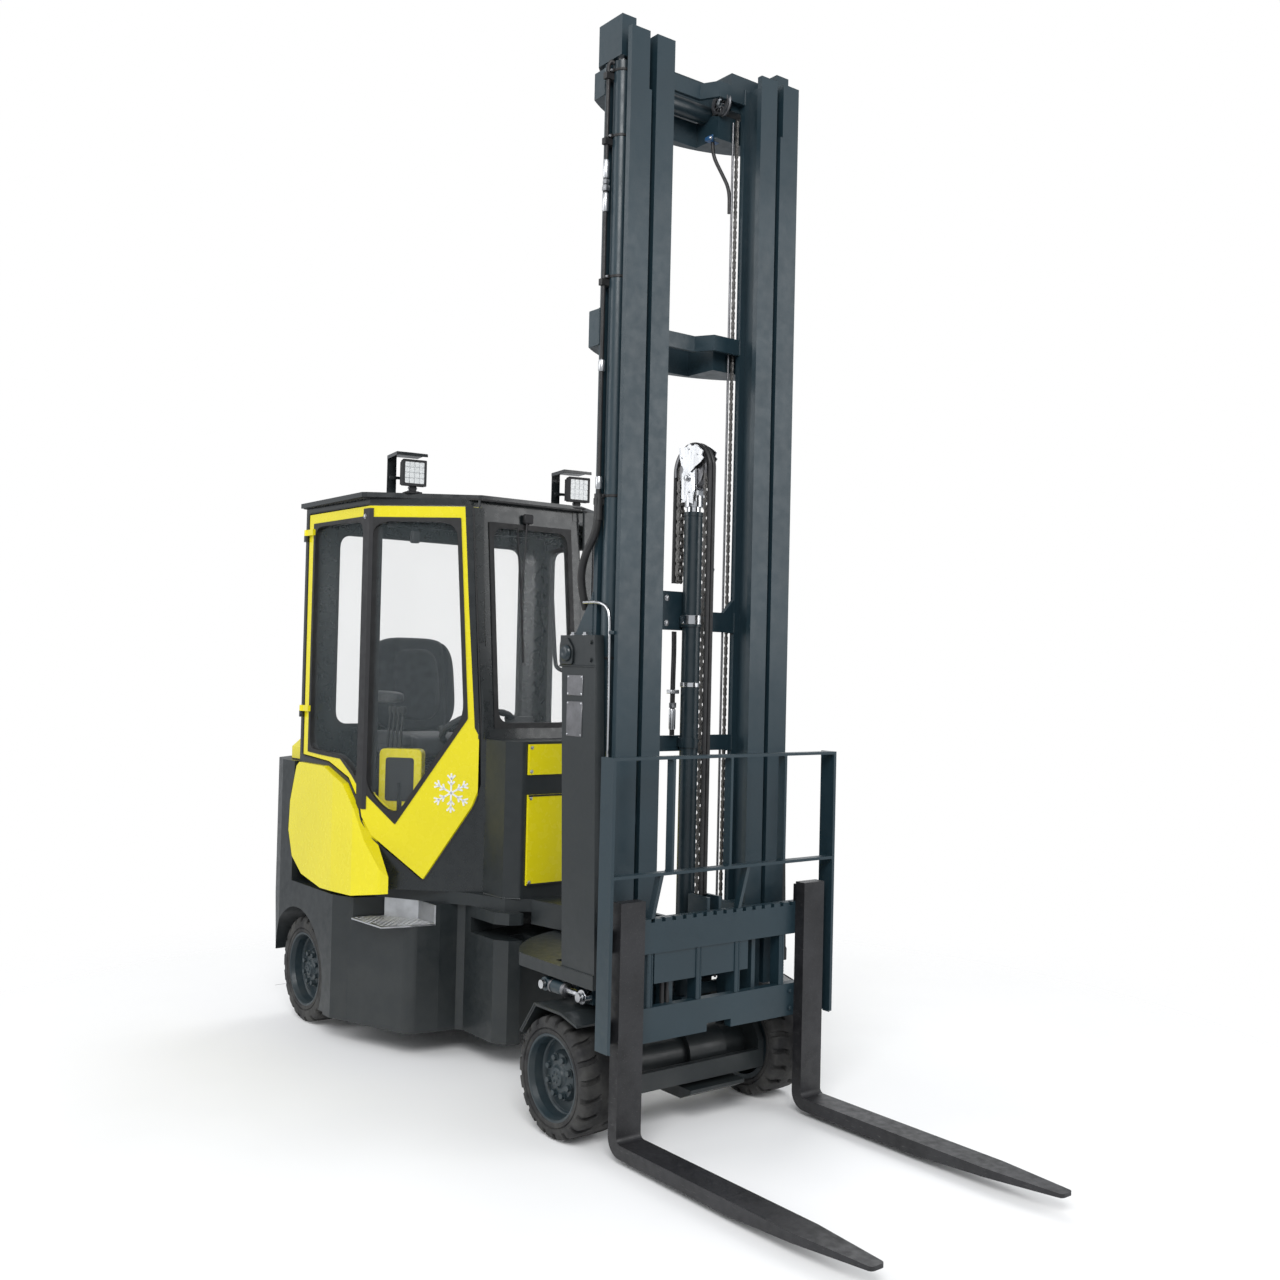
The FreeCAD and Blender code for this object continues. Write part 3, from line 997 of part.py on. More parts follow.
def mast_hose():
    """Steel pipe beside the right lift cylinder, and the thick hose that leaves its foot."""
    pipe = rod_z(7, -PIPE_X, PIPE_Y, PIPE_FOOT_Z, 3640)
    union = rod_z(15, -PIPE_X, PIPE_Y, PIPE_FOOT_Z - 60, PIPE_FOOT_Z + 30)
    clamps = [box(-PIPE_X - 14, -SIDE_CYL_X - SIDE_CYL_R + 12, PIPE_Y - 10, PIPE_Y + 10, z, z + 22)
              for z in CLAMP_Z]
    tube = hose(HOSE_POINTS, 14)
    seated = rod_z(SIDE_CYL_R, -SIDE_CYL_X, SIDE_CYL_Y, 1000, SIDE_CYL_TOP_Z)
    return fuse([pipe, union, tube] + clamps).cut(seated)


def build():
    nodes = {
        "front_frame": front_frame(),
        "drive_axle": drive_axle(),
        "mast_outer": outer_stage(),
        "mast_inner": inner_stage(),
        "lift_rods": Part.makeCompound(side_rods()),
        "lift_barrels": Part.makeCompound(side_barrels()),
        "ram_barrel": ram_barrel(),
        "ram_head": ram_head(),
        "ram_sheave": ram_sheave(),
        "carriage": carriage(),
        "load_backrest": load_backrest(),
        "fork_right": fork(-1),
        "fork_left": fork(1),
        "chassis": chassis(),
        "chassis_deck": chassis_deck(),
        "king_pin": king_pin(),
        "nose_housing": nose_housing(),
        "nose_panels": Part.makeCompound(nose_panels()),
        "counterweight": counterweight(),
        "rear_frame": rear_frame(),
        "wing_panels": Part.makeCompound(pair(wing_panel())),
        "side_pod": side_pod(),
        "hood": hood(),
        "cab_frame": cab_frame(),
        "cab_hinges": Part.makeCompound(cab_hinges()),
        "cab_glass": Part.makeCompound(cab_glass()),
        "door_frame": door_frame(),
        "door_glass": Part.makeCompound(door_glass()),
        "roof": roof(),
        "steps": steps(),
        "seat": seat(),
        "console": Part.makeCompound(console()),
        "work_lamps": Part.makeCompound(work_lamps()),
        "tow_bracket": tow_bracket(),
        "rear_axle": Part.makeCompound(rear_axle()),
        "mast_hose": mast_hose(),
        "ram_chain": ram_chain(),
    }
    front = (DRIVE_AXLE_Y, FRONT_TYRE_R, FRONT_RIM_R, FRONT_TYRE_IN, FRONT_TYRE_OUT)
    rear = (WHEELBASE, REAR_TYRE_R, REAR_RIM_R, REAR_TYRE_IN, REAR_TYRE_OUT)
    for end, sizes in (("front", front), ("rear", rear)):
        for name, side in (("right", -1), ("left", 1)):
            nodes[f"{end}_{name}_rim"] = rim(side, *sizes)
            nodes[f"{end}_{name}_tyre"] = tyre(side, *sizes)
    for name, side in (("right", -1), ("left", 1)):
        nodes[f"tilt_barrel_{name}"] = tilt_barrel(side)
        nodes[f"tilt_rod_{name}"] = tilt_rod(side)
    return nodes


def origin_y():
    """Half way from the fork tips to the tail."""
    return (FORK_FACE_Y - FORK_LENGTH + TAIL_Y) / 2


def main():
    os.makedirs("parts", exist_ok=True)
    for name, shape in build().items():
        placed = shape.copy()
        placed.translate(V(0, -origin_y(), 0))
        placed.exportStep(f"parts/{name}.step")
        print(name, placed.isValid(), len(placed.Solids), round(placed.Volume / 1e6, 3))


if __name__ == "__main__":
    main()
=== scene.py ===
import json
import math

import bmesh
import bpy
import numpy as np
from bpy.props import FloatProperty, FloatVectorProperty, IntProperty, PointerProperty
from mathutils import Matrix


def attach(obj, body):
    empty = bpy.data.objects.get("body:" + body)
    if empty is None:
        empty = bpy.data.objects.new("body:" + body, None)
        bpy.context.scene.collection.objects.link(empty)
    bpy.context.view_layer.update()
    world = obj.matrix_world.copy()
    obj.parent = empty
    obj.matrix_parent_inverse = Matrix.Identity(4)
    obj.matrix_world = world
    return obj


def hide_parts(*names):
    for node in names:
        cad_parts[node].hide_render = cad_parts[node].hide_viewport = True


bl_info = {
    "name": "Articulated lift truck",
    "version": (1, 0, 0),
    "blender": (4, 5, 0),
    "location": "3D View > Sidebar > Truck",
    "description": "Dresses the packed lift truck with its tyres, chains, hoses, seals, lamps and finishes",
    "category": "Object",
}

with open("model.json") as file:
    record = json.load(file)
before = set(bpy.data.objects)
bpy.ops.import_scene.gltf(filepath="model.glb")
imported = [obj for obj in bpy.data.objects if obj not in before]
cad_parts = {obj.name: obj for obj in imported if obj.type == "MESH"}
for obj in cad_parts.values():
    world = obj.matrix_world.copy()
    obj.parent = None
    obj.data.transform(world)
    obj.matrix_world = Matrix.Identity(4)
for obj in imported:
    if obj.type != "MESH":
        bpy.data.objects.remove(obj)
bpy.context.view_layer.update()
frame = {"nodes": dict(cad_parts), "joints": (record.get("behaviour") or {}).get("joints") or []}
JOINTS = {joint["name"]: joint for joint in frame["joints"]}

# All places below are in millimetres, with the king pin at (0, KING_PIN_Y) and the floor at 0.
METRE = 1000.0
MILLIMETRE = 0.001
MERGE_DISTANCE = 1e-5
KING_PIN_Y = 515.0
PLACE = np.array([0.0, JOINTS["articulation"]["pos_m"][1] - KING_PIN_Y / METRE, 0.0])
ORIGIN = (0.0, 0.0, 0.0)
SIDES = (("right", -1), ("left", 1))

# Camera and stage are in metres, radians and watts. A light has a name, a place, a width and a power.
CAMERA_AT = (-3.017, -4.111, 1.591)
CAMERA_YAW = 0.6568
CAMERA_PITCH = 0.0209
CAMERA_ROLL = 0.0230
CAMERA_LENS = 36.92
LIGHTS_AIM = (0.0, 0.0, 1.4)
LIGHTS = (("key", (-4.5, -5.5, 6.5), 4.0, 430.0),
          ("fill", (-6.0, 3.0, 4.0), 5.0, 165.0),
          ("rim", (4.5, 3.5, 6.0), 4.0, 170.0),
          ("front", (3.5, -6.0, 3.5), 4.0, 125.0))
SKY_STRENGTH = 0.55
FLOOR_REACH = 40.0
FLOOR_Z = -0.001
FLOOR_FADE = (1.3, 3.6)

# The free lift cylinder, the mast's pulley and the right lift cylinder
RAM_Y = -48.0
SHEAVE_Z = 2300.0
CHAIN_RADIUS = 74.0
CHAIN_ENDS_Z = (792.0, 1884.0)
HOSE_LOOP_RADIUS = 95.0
PULLEY_CENTRE = (0, 35, 3704)
LIFT_CYLINDER = (-360, -47, 0)

# The cab's right wall is a slanting facet from its front edge to its corner, and then a side that is
# almost straight. The windscreen leans back from its foot.
FACET_FRONT = (-262.0, 968.0)
WALL_CORNER = (-612.0, 1300.0)
WALL_REAR = (-636.0, 1880.0)
FACET_NORMAL = (-0.688, -0.7257)
SIDE_NORMAL = (-0.9991, -0.0413)
SCREEN_FOOT = (940.0, 1285.0)
SCREEN_LEAN = 0.1
ROOF_Z = 2285.0
GUTTER_Z = 2266.0
SEAT_X = -170.0
LAMP_PLACES = ((-475.0, 1205.0, 0.0), (240.0, 1050.0, -12.0))
LAMP_TURN = math.radians(-10.0)

# Outlines are (y, z) on the cab's sides and (x, z) at its front and rear.
REAR_PANE = ((1800, 1190), (1800, 2190), (1346, 2190), (1346, 1083), (1395, 1119), (1497, 1178),
             (1690, 1184))
FRONT_PANE = ((1290, 1046), (1290, 2185), (1036, 2185), (1002, 1366), (1203, 928))
LEFT_WINDOW = ((1800, 1250), (1800, 2165), (1345, 2165), (1345, 1250))
LEFT_FRONT_WINDOW = ((1265, 1250), (1265, 2165), (1030, 2165), (1030, 1250))
SCREEN = ((-205, 1330), (205, 1330), (205, 2180), (-205, 2180))
REAR_WINDOW = ((-500, 1290), (500, 1290), (500, 2175), (-500, 2175))
PANE_CORNER = 60.0
SEAL_LEVELS = (-28.0, 3.0)
DOOR_EDGE = ((1845, 2232), (1845, 1175), (1600, 1160), (1420, 1105), (1322, 1010), (1300, 953),
             (1272, 880), (1119, 708), (985, 1010), (962, 1100), (968, 1300), (1008, 2232), (1300, 2232))


class TruckSizes(bpy.types.PropertyGroup):
    tread_depth: FloatProperty(
        name="Tread depth", description="Depth of the grooves in the tyres", default=0.012, unit="LENGTH")
    tread_lugs: IntProperty(
        name="Tread lugs", description="Number of lugs round each tyre", default=20)
    chain_pitch: FloatProperty(
        name="Chain pitch", description="Length of one link of the lift chain", default=0.0254,
        unit="LENGTH")
    seal_width: FloatProperty(
        name="Seal width", description="Width of the rubber round each pane", default=0.016,
        unit="LENGTH")
    hose_radius: FloatProperty(
        name="Hose radius", description="Radius of the hoses over the free lift cylinder", default=0.008,
        unit="LENGTH")
    nut_radius: FloatProperty(
        name="Nut radius", description="Radius of the wheel nuts", default=0.011, unit="LENGTH")
    weld_radius: FloatProperty(
        name="Weld radius", description="Half width of a weld bead", default=0.0035, unit="LENGTH")


class TruckColours(bpy.types.PropertyGroup):
    slate: FloatVectorProperty(
        name="Slate", description="Mast and carriage paint", subtype="COLOR", size=3,
        default=(0.013, 0.031, 0.042))
    charcoal: FloatVectorProperty(
        name="Charcoal", description="Body and cab paint", subtype="COLOR", size=3,
        default=(0.011, 0.0155, 0.0175))
    yellow: FloatVectorProperty(
        name="Yellow", description="Panel paint", subtype="COLOR", size=3,
        default=(0.84, 0.73, 0.006))
    rubber: FloatVectorProperty(
        name="Rubber", description="Tyres, hoses and seals", subtype="COLOR", size=3,
        default=(0.012, 0.012, 0.013))
    dust: FloatVectorProperty(
        name="Dust", description="Dust that lies in the tread and low on the body", subtype="COLOR",
        size=3, default=(0.10, 0.098, 0.09))
    bright: FloatVectorProperty(
        name="Bright metal", description="Chrome and zinc plate", subtype="COLOR", size=3,
        default=(0.72, 0.73, 0.75))


def sizes():
    return bpy.context.scene.truck_sizes


def colours():
    return bpy.context.scene.truck_colours


# Shapes: a pair of points (n, 3) and a list of face arrays

def unit(vectors):
    return vectors / (np.linalg.norm(vectors, axis=-1, keepdims=True) + 1e-12)


def grid_faces(rows, columns, wrap_rows=False, wrap_columns=False):
    """Quads of a grid numbered row by row; a wrapped side joins its last line to its first."""
    row = np.arange(rows if wrap_rows else rows - 1)[:, None]
    column = np.arange(columns if wrap_columns else columns - 1)[None, :]
    below = (row + 1) % rows
    beside = (column + 1) % columns
    quads = np.stack([row * columns + column, row * columns + beside, below * columns + beside,
                      below * columns + column], -1)
    return quads.reshape(-1, 4)


def joined(shapes):
    """Several shapes as one: each one's faces are shifted by the points before it."""
    starts = np.cumsum([0] + [len(points) for points, faces in shapes])
    faces = [block + start for (points, blocks), start in zip(shapes, starts) for block in blocks]
    return np.concatenate([points for points, blocks in shapes]), faces


def moved(shape, offset):
    return shape[0] + np.array(offset, float), shape[1]


def mirrored(shape):
    return shape[0] * np.array([-1.0, 1.0, 1.0]), shape[1]


def both_sides(shape):
    return joined([shape, mirrored(shape)])


def turned_about(shape, axis, angle, centre=(0.0, 0.0, 0.0)):
    """The shape turned about an axis (0, 1 or 2) through centre: a plane rotation of the other two."""
    a, b = [k for k in range(3) if k != axis]
    if axis == 1:
        a, b = b, a
    points = shape[0] - np.array(centre, float)
    result = points.copy()
    result[:, a] = points[:, a] * math.cos(angle) - points[:, b] * math.sin(angle)
    result[:, b] = points[:, a] * math.sin(angle) + points[:, b] * math.cos(angle)
    return result + np.array(centre, float), shape[1]


def copies(shape, offsets):
    """The shape once at each offset."""
    offsets = np.array(offsets, float).reshape(-1, 3)
    count = len(shape[0])
    points = (shape[0][None] + offsets[:, None]).reshape(-1, 3)
    shift = np.arange(len(offsets))[:, None, None] * count
    return points, [(block[None] + shift).reshape(-1, block.shape[1]) for block in shape[1]]


def turned_copies(shape, centres, angles):
    """Copies turned about X by their angles and moved to their centres."""
    points, blocks = shape
    cosine = np.cos(angles)[:, None]
    sine = np.sin(angles)[:, None]
    y = points[None, :, 1] * cosine - points[None, :, 2] * sine
    z = points[None, :, 1] * sine + points[None, :, 2] * cosine
    x = np.broadcast_to(points[None, :, 0], y.shape)
    placed = np.stack([x, y, z], -1) + np.array(centres, float)[:, None]
    shift = np.arange(len(placed))[:, None, None] * len(points)
    return placed.reshape(-1, 3), [(block[None] + shift).reshape(-1, block.shape[1]) for block in blocks]


def circle(radius, count=12):
    angle = np.linspace(0, 2 * math.pi, count, endpoint=False)
    return np.stack([radius * np.cos(angle), radius * np.sin(angle)], -1)


def rectangle(width, height):
    return np.array([[-width, -height], [width, -height], [width, height], [-width, height]]) / 2


def rounded(points, radius, closed=False, steps=5):
    """A path whose corners are quadratic curves: each starts and ends `radius` from its corner."""
    points = np.array(points, float)
    before = np.roll(points, 1, 0) - points
    after = np.roll(points, -1, 0) - points
    reach_before = np.minimum(radius, 0.49 * np.linalg.norm(before, axis=1))[:, None]
    reach_after = np.minimum(radius, 0.49 * np.linalg.norm(after, axis=1))[:, None]
    start = points + unit(before) * reach_before
    end = points + unit(after) * reach_after
    t = np.linspace(0, 1, steps)[None, :, None]
    curve = (1 - t) ** 2 * start[:, None] + 2 * t * (1 - t) * points[:, None] + t ** 2 * end[:, None]
    if closed:
        return curve.reshape(-1, points.shape[1])
    inner = curve[1:-1].reshape(-1, points.shape[1])
    return np.concatenate([points[:1], inner, points[-1:]])


def inset(outline, distance):
    """An outline (n, 2) moved inwards: each corner goes along the sum of its edges' inward normals."""
    outline = np.array(outline, float)
    after = unit(np.roll(outline, -1, 0) - outline)
    before = unit(outline - np.roll(outline, 1, 0))
    x, y = outline.T
    area = np.sum(x * np.roll(y, -1) - np.roll(x, -1) * y)
    turn = np.sign(area) * np.array([[0.0, 1.0], [-1.0, 0.0]])
    normal = before @ turn + after @ turn
    share = np.clip(1 + np.sum(before * after, 1), 0.3, 2.0)[:, None]
    return outline + normal / share * distance


def pane_inset(outline, widths):
    """An outline whose edges each move inwards by a width of their own, with corners where they meet."""
    outline = np.array(outline, float)
    along = unit(np.roll(outline, -1, 0) - outline)
    x, y = outline.T
    area = np.sum(x * np.roll(y, -1) - np.roll(x, -1) * y)
    normal = np.sign(area) * np.stack([-along[:, 1], along[:, 0]], -1)
    level = np.sum(normal * outline, 1) + widths
    pairs = np.stack([np.roll(normal, 1, 0), normal], 1)
    return np.linalg.solve(pairs, np.stack([np.roll(level, 1), level], 1)[..., None])[..., 0]


def sweep(path, profile, closed=False, scale=None):
    """A profile (m, 2) carried along a path (n, 3), lying across the path's direction at each point."""
    path = np.array(path, float)
    ahead = np.roll(path, -1, 0) - path
    behind = path - np.roll(path, 1, 0)
    if not closed:
        ahead[-1] = behind[-1]
        behind[0] = ahead[0]
    along = unit(unit(ahead) + unit(behind))
    directions = [[1, 0, 0], [0, 1, 0], [0, 0, 1], [1, 1, 0], [0, 1, 1], [1, 0, 1], [1, -1, 0]]
    directions = unit(np.array(directions, float))
    up = directions[np.argmin(np.abs(along @ directions.T).max(0))]
    side = unit(np.cross(along, up))
    top = np.cross(side, along)
    size = np.ones(len(path)) if scale is None else scale
    across = profile[None] * size[:, None, None]
    rings = path[:, None] + side[:, None] * across[..., :1] + top[:, None] * across[..., 1:]
    count = len(profile)
    faces = [grid_faces(len(path), count, closed, True)]
    if not closed:
        faces += [np.arange(count)[None, ::-1], np.arange(count)[None] + (len(path) - 1) * count]
    return rings.reshape(-1, 3), faces


def tube(points, radius, bend=40.0, sides=12):
    """A round pipe along a path with rounded bends."""
    return sweep(rounded(points, bend, steps=7), circle(radius, sides))


def turned(profile, centre, axis=0, steps=48, ring=False):
    """A profile of (distance along the axis, radius) turned about an axis through centre."""
    profile = np.array(profile, float)
    angle = np.linspace(0, 2 * math.pi, steps, endpoint=False)[:, None]
    points = np.empty((steps, len(profile), 3))
    points[..., axis] = profile[None, :, 0]
    points[..., (axis + 1) % 3] = profile[None, :, 1] * np.cos(angle)
    points[..., (axis + 2) % 3] = profile[None, :, 1] * np.sin(angle)
    return points.reshape(-1, 3) + np.array(centre, float), [grid_faces(steps, len(profile), True, ring)]


def rod(low, high, radius, centre=ORIGIN, axis=0, steps=24):
    """A plain cylinder from low to high along an axis through centre."""
    return turned([(low, 0), (low, radius), (high, radius), (high, 0)], centre, axis, steps)


def ring_band(centre, axis, low, high, inner, outer, steps=48, edge=0.8):
    """A collar: a rectangle with broken edges turned about an axis."""
    profile = [(low, inner), (low, outer - edge), (low + edge, outer),
               (high - edge, outer), (high, outer - edge), (high, inner)]
    return turned(profile, centre, axis, steps, ring=True)


def ring_places(count, radius, centre, axis, start=0.0):
    """Places spaced evenly round an axis through centre, the first one `start` spacings on."""
    angle = 2 * math.pi * (np.arange(count) + start) / count
    places = np.tile(np.array(centre, float), (count, 1))
    places[:, (axis + 1) % 3] += radius * np.cos(angle)
    places[:, (axis + 2) % 3] += radius * np.sin(angle)
    return places


# A block has three points at each of its eight corners, one on each face that meets there.
SIGNS = np.array([[x, y, z] for x in (-1, 1) for y in (-1, 1) for z in (-1, 1)], float)
SIDE_CORNERS = ((0, (0, 1, 3, 2)), (0, (4, 6, 7, 5)), (1, (0, 4, 5, 1)), (1, (2, 3, 7, 6)),
                (2, (0, 2, 6, 4)), (2, (1, 5, 7, 3)))
EDGE_BITS = ((4, 1, 2), (2, 0, 2), (1, 0, 1))
BLOCK_SIDES = np.array([[3 * corner + axis for corner in corners] for axis, corners in SIDE_CORNERS])
BLOCK_EDGES = np.array([[3 * c + a, 3 * d + a, 3 * d + b, 3 * c + b] for bit, a, b in EDGE_BITS
                        for c in range(8) for d in range(c + 1, 8) if c ^ d == bit])
BLOCK_CORNERS = np.array([[3 * c, 3 * c + 1, 3 * c + 2] for c in range(8)])
PLANES = {0: [1, 2], 1: [0, 2], 2: [0, 1]}


def block(low, high, bevel=2.0):
    """A box with broken edges: each corner has one point on each of its three faces."""
    low = np.array(low, float)
    high = np.array(high, float)
    half = (high - low) / 2
    pull = bevel * (1 - np.eye(3))
    points = (low + high) / 2 + SIGNS[:, None] * (half - pull)[None]
    return points.reshape(-1, 3), [BLOCK_SIDES, BLOCK_EDGES, BLOCK_CORNERS]


def layered(rings):
    """Outlines (k, n, 3) joined one after the other, with the first and the last one filled."""
    layers, count = rings.shape[:2]
    end = np.arange(count)[None]
    return rings.reshape(-1, 3), [grid_faces(layers, count, False, True), end, end + (layers - 1) * count]


def plate(outline, axis, low, high, bevel=1.0):
    """An outline in the plane across an axis, carried from low to high, with broken edges."""
    outline = np.array(outline, float)
    small = inset(outline, bevel)
    levels = ((small, low), (outline, low + bevel), (outline, high - bevel), (small, high))
    rings = np.empty((4, len(outline), 3))
    for ring, (shape, level) in zip(rings, levels):
        ring[:, PLANES[axis]] = shape
        ring[:, axis] = level
    return layered(rings)


def band(outline, width, corner, place, low, high, grow=1.0):
    """A flat frame inside an outline: its outer line keeps the corners and its inner line is rounded."""
    outer = rounded(inset(outline, -grow), 4.0, closed=True, steps=6)
    inner = rounded(pane_inset(outline, width), corner, closed=True, steps=6)
    lines = np.stack([place(outer, low), place(outer, high), place(inner, high), place(inner, low)], 1)
    return lines.reshape(-1, 3), [grid_faces(len(outer), 4, True, True)]


def hexagon_head(axis, sign, radius, height):
    """A hexagon bolt head on its washer."""
    washer = [(0, 0), (0, radius * 1.35), (sign * height * 0.2, radius * 1.35), (sign * height * 0.2, 0)]
    head = [(sign * height * 0.2, 0), (sign * height * 0.2, radius), (sign * height * 0.9, radius),
            (sign * height, radius * 0.86), (sign * height, 0)]
    return joined([turned(washer, (0, 0, 0), axis, 20), turned(head, (0, 0, 0), axis, 6)])


def bolts(places, axis, sign, radius=8.0, height=8.0):
    return copies(hexagon_head(axis, sign, radius, height), places)


def weld(points, closed=False, radius=None):
    """A bead laid along a path: its radius swells and shrinks with each ripple."""
    size = radius or sizes().weld_radius * METRE
    spacing = 3.5
    ripple_depth = 0.22
    ripple_turn = 2.1
    points = np.array(points, float)
    ends = np.roll(points, -1, 0) if closed else points[1:]
    starts = points if closed else points[:-1]
    lines = []
    for a, b in zip(starts, ends):
        count = max(3, int(np.linalg.norm(b - a) / spacing))
        lines.append(a + (b - a) * np.linspace(0, 1, count, endpoint=False)[:, None])
    path = np.concatenate(lines + ([] if closed else [points[-1:]]))
    ripple = 1 + ripple_depth * np.sin(np.arange(len(path)) * ripple_turn)
    return sweep(path, circle(size, 6), closed, ripple)


def pillow(centre, half, square=0.35, pinches=(), pinch_depth=7.0):
    """A stuffed form: a superellipsoid, drawn in along sewn lines across X."""
    rows = 41
    columns = 96
    v = np.linspace(-math.pi / 2, math.pi / 2, rows)[:, None]
    u = np.linspace(0, 2 * math.pi, columns, endpoint=False)[None]

    def power(value):
        return np.sign(value) * np.abs(value) ** square

    x = half[0] * power(np.cos(v)) * power(np.cos(u))
    y = half[1] * power(np.cos(v)) * power(np.sin(u))
    z = half[2] * power(np.sin(v)) * np.ones_like(u)
    crown = 1 + 0.10 * (1 - (x / half[0]) ** 2) * (1 - (y / half[1]) ** 2)
    z = z * crown
    for line in pinches:
        z = z - pinch_depth * np.exp(-((x - line) / 5.0) ** 2) * (z > 0)
    points = np.stack([x, y, z], -1).reshape(-1, 3) + np.array(centre, float)
    return points, [grid_faces(rows, columns, False, True)]


def make(name, shape, finish, body, sharp=38.0):
    """One finished piece, in metres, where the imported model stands."""
    points, blocks = shape
    mesh = bpy.data.meshes.new(name)
    places = (points * MILLIMETRE + PLACE).tolist()
    mesh.from_pydata(places, [], [face for faces in blocks for face in faces.tolist()])
    whole = bmesh.new()
    whole.from_mesh(mesh)
    bmesh.ops.remove_doubles(whole, verts=whole.verts, dist=MERGE_DISTANCE)
    bmesh.ops.recalc_face_normals(whole, faces=whole.faces)
    whole.to_mesh(mesh)
    whole.free()
    mesh.shade_smooth()
    mesh.set_sharp_from_angle(angle=math.radians(sharp))
    mesh.materials.append(FINISHES[finish])
    piece = bpy.data.objects.new(name, mesh)
    bpy.context.scene.collection.objects.link(piece)
    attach(piece, body)
    return piece


# Places on the cab: each function puts an outline on a wall or pane, `lift` out of it

def facet_x(y):
    """x of the right wall's slanting facet at y."""
    return FACET_FRONT[0] - (y - FACET_FRONT[1]) * (FACET_FRONT[0] - WALL_CORNER[0]) / (
        WALL_CORNER[1] - FACET_FRONT[1])


def side_x(y):
    """x of the right wall's side behind the corner at y."""
    return WALL_CORNER[0] - (y - WALL_CORNER[1]) * (WALL_CORNER[0] - WALL_REAR[0]) / (
        WALL_REAR[1] - WALL_CORNER[1])


def wall_point(outline, lift):
    """The right wall: the facet ahead of its corner and the side behind it, each with its own normal."""
    y, z = np.array(outline, float).T
    ahead = y < WALL_CORNER[1] - 0.1
    x = np.where(ahead, facet_x(y), side_x(y))
    normal = np.where(ahead[:, None], np.array([FACET_NORMAL]), np.array([SIDE_NORMAL]))
    return np.stack([x + normal[:, 0] * lift, y + normal[:, 1] * lift, z], -1)


def left_wall_point(outline, lift):
    return wall_point(outline, lift) * np.array([-1.0, 1.0, 1.0])


def screen_point(outline, lift):
    """The windscreen leans back by a tenth of its height."""
    x, z = np.array(outline, float).T
    return np.stack([x, SCREEN_FOOT[0] + (z - SCREEN_FOOT[1]) * SCREEN_LEAN - lift, z + 0 * x], -1)


def screen_path(places):
    """A line over the windscreen from places (x, z, lift)."""
    return np.array([screen_point([(x, z)], lift)[0] for x, z, lift in places])


def rear_point(outline, lift):
    x, z = np.array(outline, float).T
    return np.stack([x, WALL_REAR[1] + lift + 0 * x, z], -1)


def wall_plate(outline, low, high):
    """A thin plate on the right wall, between two lifts out of it."""
    return layered(np.stack([wall_point(outline, low), wall_point(outline, high)]))


# Finishes

FINISHES = {}


class Surface:
    """Builds one material: a principled shader fed by noise in object space."""

    def __init__(self, name, roughness=0.5, metallic=0.0):
        self.material = bpy.data.materials.new(name)
        self.material.use_nodes = True
        self.nodes = self.material.node_tree.nodes
        self.links = self.material.node_tree.links
        self.shader = self.nodes["Principled BSDF"]
        self.shader.inputs["Roughness"].default_value = roughness
        self.shader.inputs["Metallic"].default_value = metallic
        self.place = self.nodes.new("ShaderNodeTexCoord").outputs["Object"]
        FINISHES[name] = self.material

    def noise(self, scale, detail=3.0, stretch=None):
        node = self.nodes.new("ShaderNodeTexNoise")
        node.inputs["Scale"].default_value = scale
        node.inputs["Detail"].default_value = detail
        source = self.place
        if stretch:
            mapping = self.nodes.new("ShaderNodeMapping")
            mapping.inputs["Scale"].default_value = stretch
            self.links.new(source, mapping.inputs["Vector"])
            source = mapping.outputs["Vector"]
        self.links.new(source, node.inputs["Vector"])
        return node.outputs["Fac"]

    def ramp(self, factor, low, high, start=0.35, end=0.65):
        node = self.nodes.new("ShaderNodeValToRGB")
        node.color_ramp.elements[0].position = start
        node.color_ramp.elements[0].color = (*low, 1.0)
        node.color_ramp.elements[1].position = end
        node.color_ramp.elements[1].color = (*high, 1.0)
        self.links.new(factor, node.inputs["Fac"])
        return node.outputs["Color"]

    def span(self, factor, low, high, start=0.0, end=1.0):
        node = self.nodes.new("ShaderNodeMapRange")
        for socket, value in (("From Min", start), ("From Max", end), ("To Min", low), ("To Max", high)):
            node.inputs[socket].default_value = value
        self.links.new(factor, node.inputs["Value"])
        return node.outputs["Result"]

    def product(self, first, second):
        node = self.nodes.new("ShaderNodeMath")
        node.operation = "MULTIPLY"
        self.links.new(first, node.inputs[0])
        self.links.new(second, node.inputs[1])
        return node.outputs["Value"]

    def mixed(self, factor, first, second):
        """A blend of a colour output with a plain colour."""
        node = self.nodes.new("ShaderNodeMix")
        node.data_type = "RGBA"
        self.links.new(factor, node.inputs["Factor"])
        self.links.new(first, node.inputs[6])
        node.inputs[7].default_value = (*second, 1.0)
        return node.outputs[2]

    def height(self):
        node = self.nodes.new("ShaderNodeSeparateXYZ")
        self.links.new(self.place, node.inputs["Vector"])
        return node.outputs["Z"]

    def colour(self, output):
        self.links.new(output, self.shader.inputs["Base Color"])

    def rough(self, output):
        self.links.new(output, self.shader.inputs["Roughness"])

    def bump(self, output, strength, distance=0.001):
        node = self.nodes.new("ShaderNodeBump")
        node.inputs["Strength"].default_value = strength
        node.inputs["Distance"].default_value = distance
        self.links.new(output, node.inputs["Height"])
        self.links.new(node.outputs["Normal"], self.shader.inputs["Normal"])


def shade(colour, factor):
    return tuple(min(1.0, channel * factor) for channel in colour)


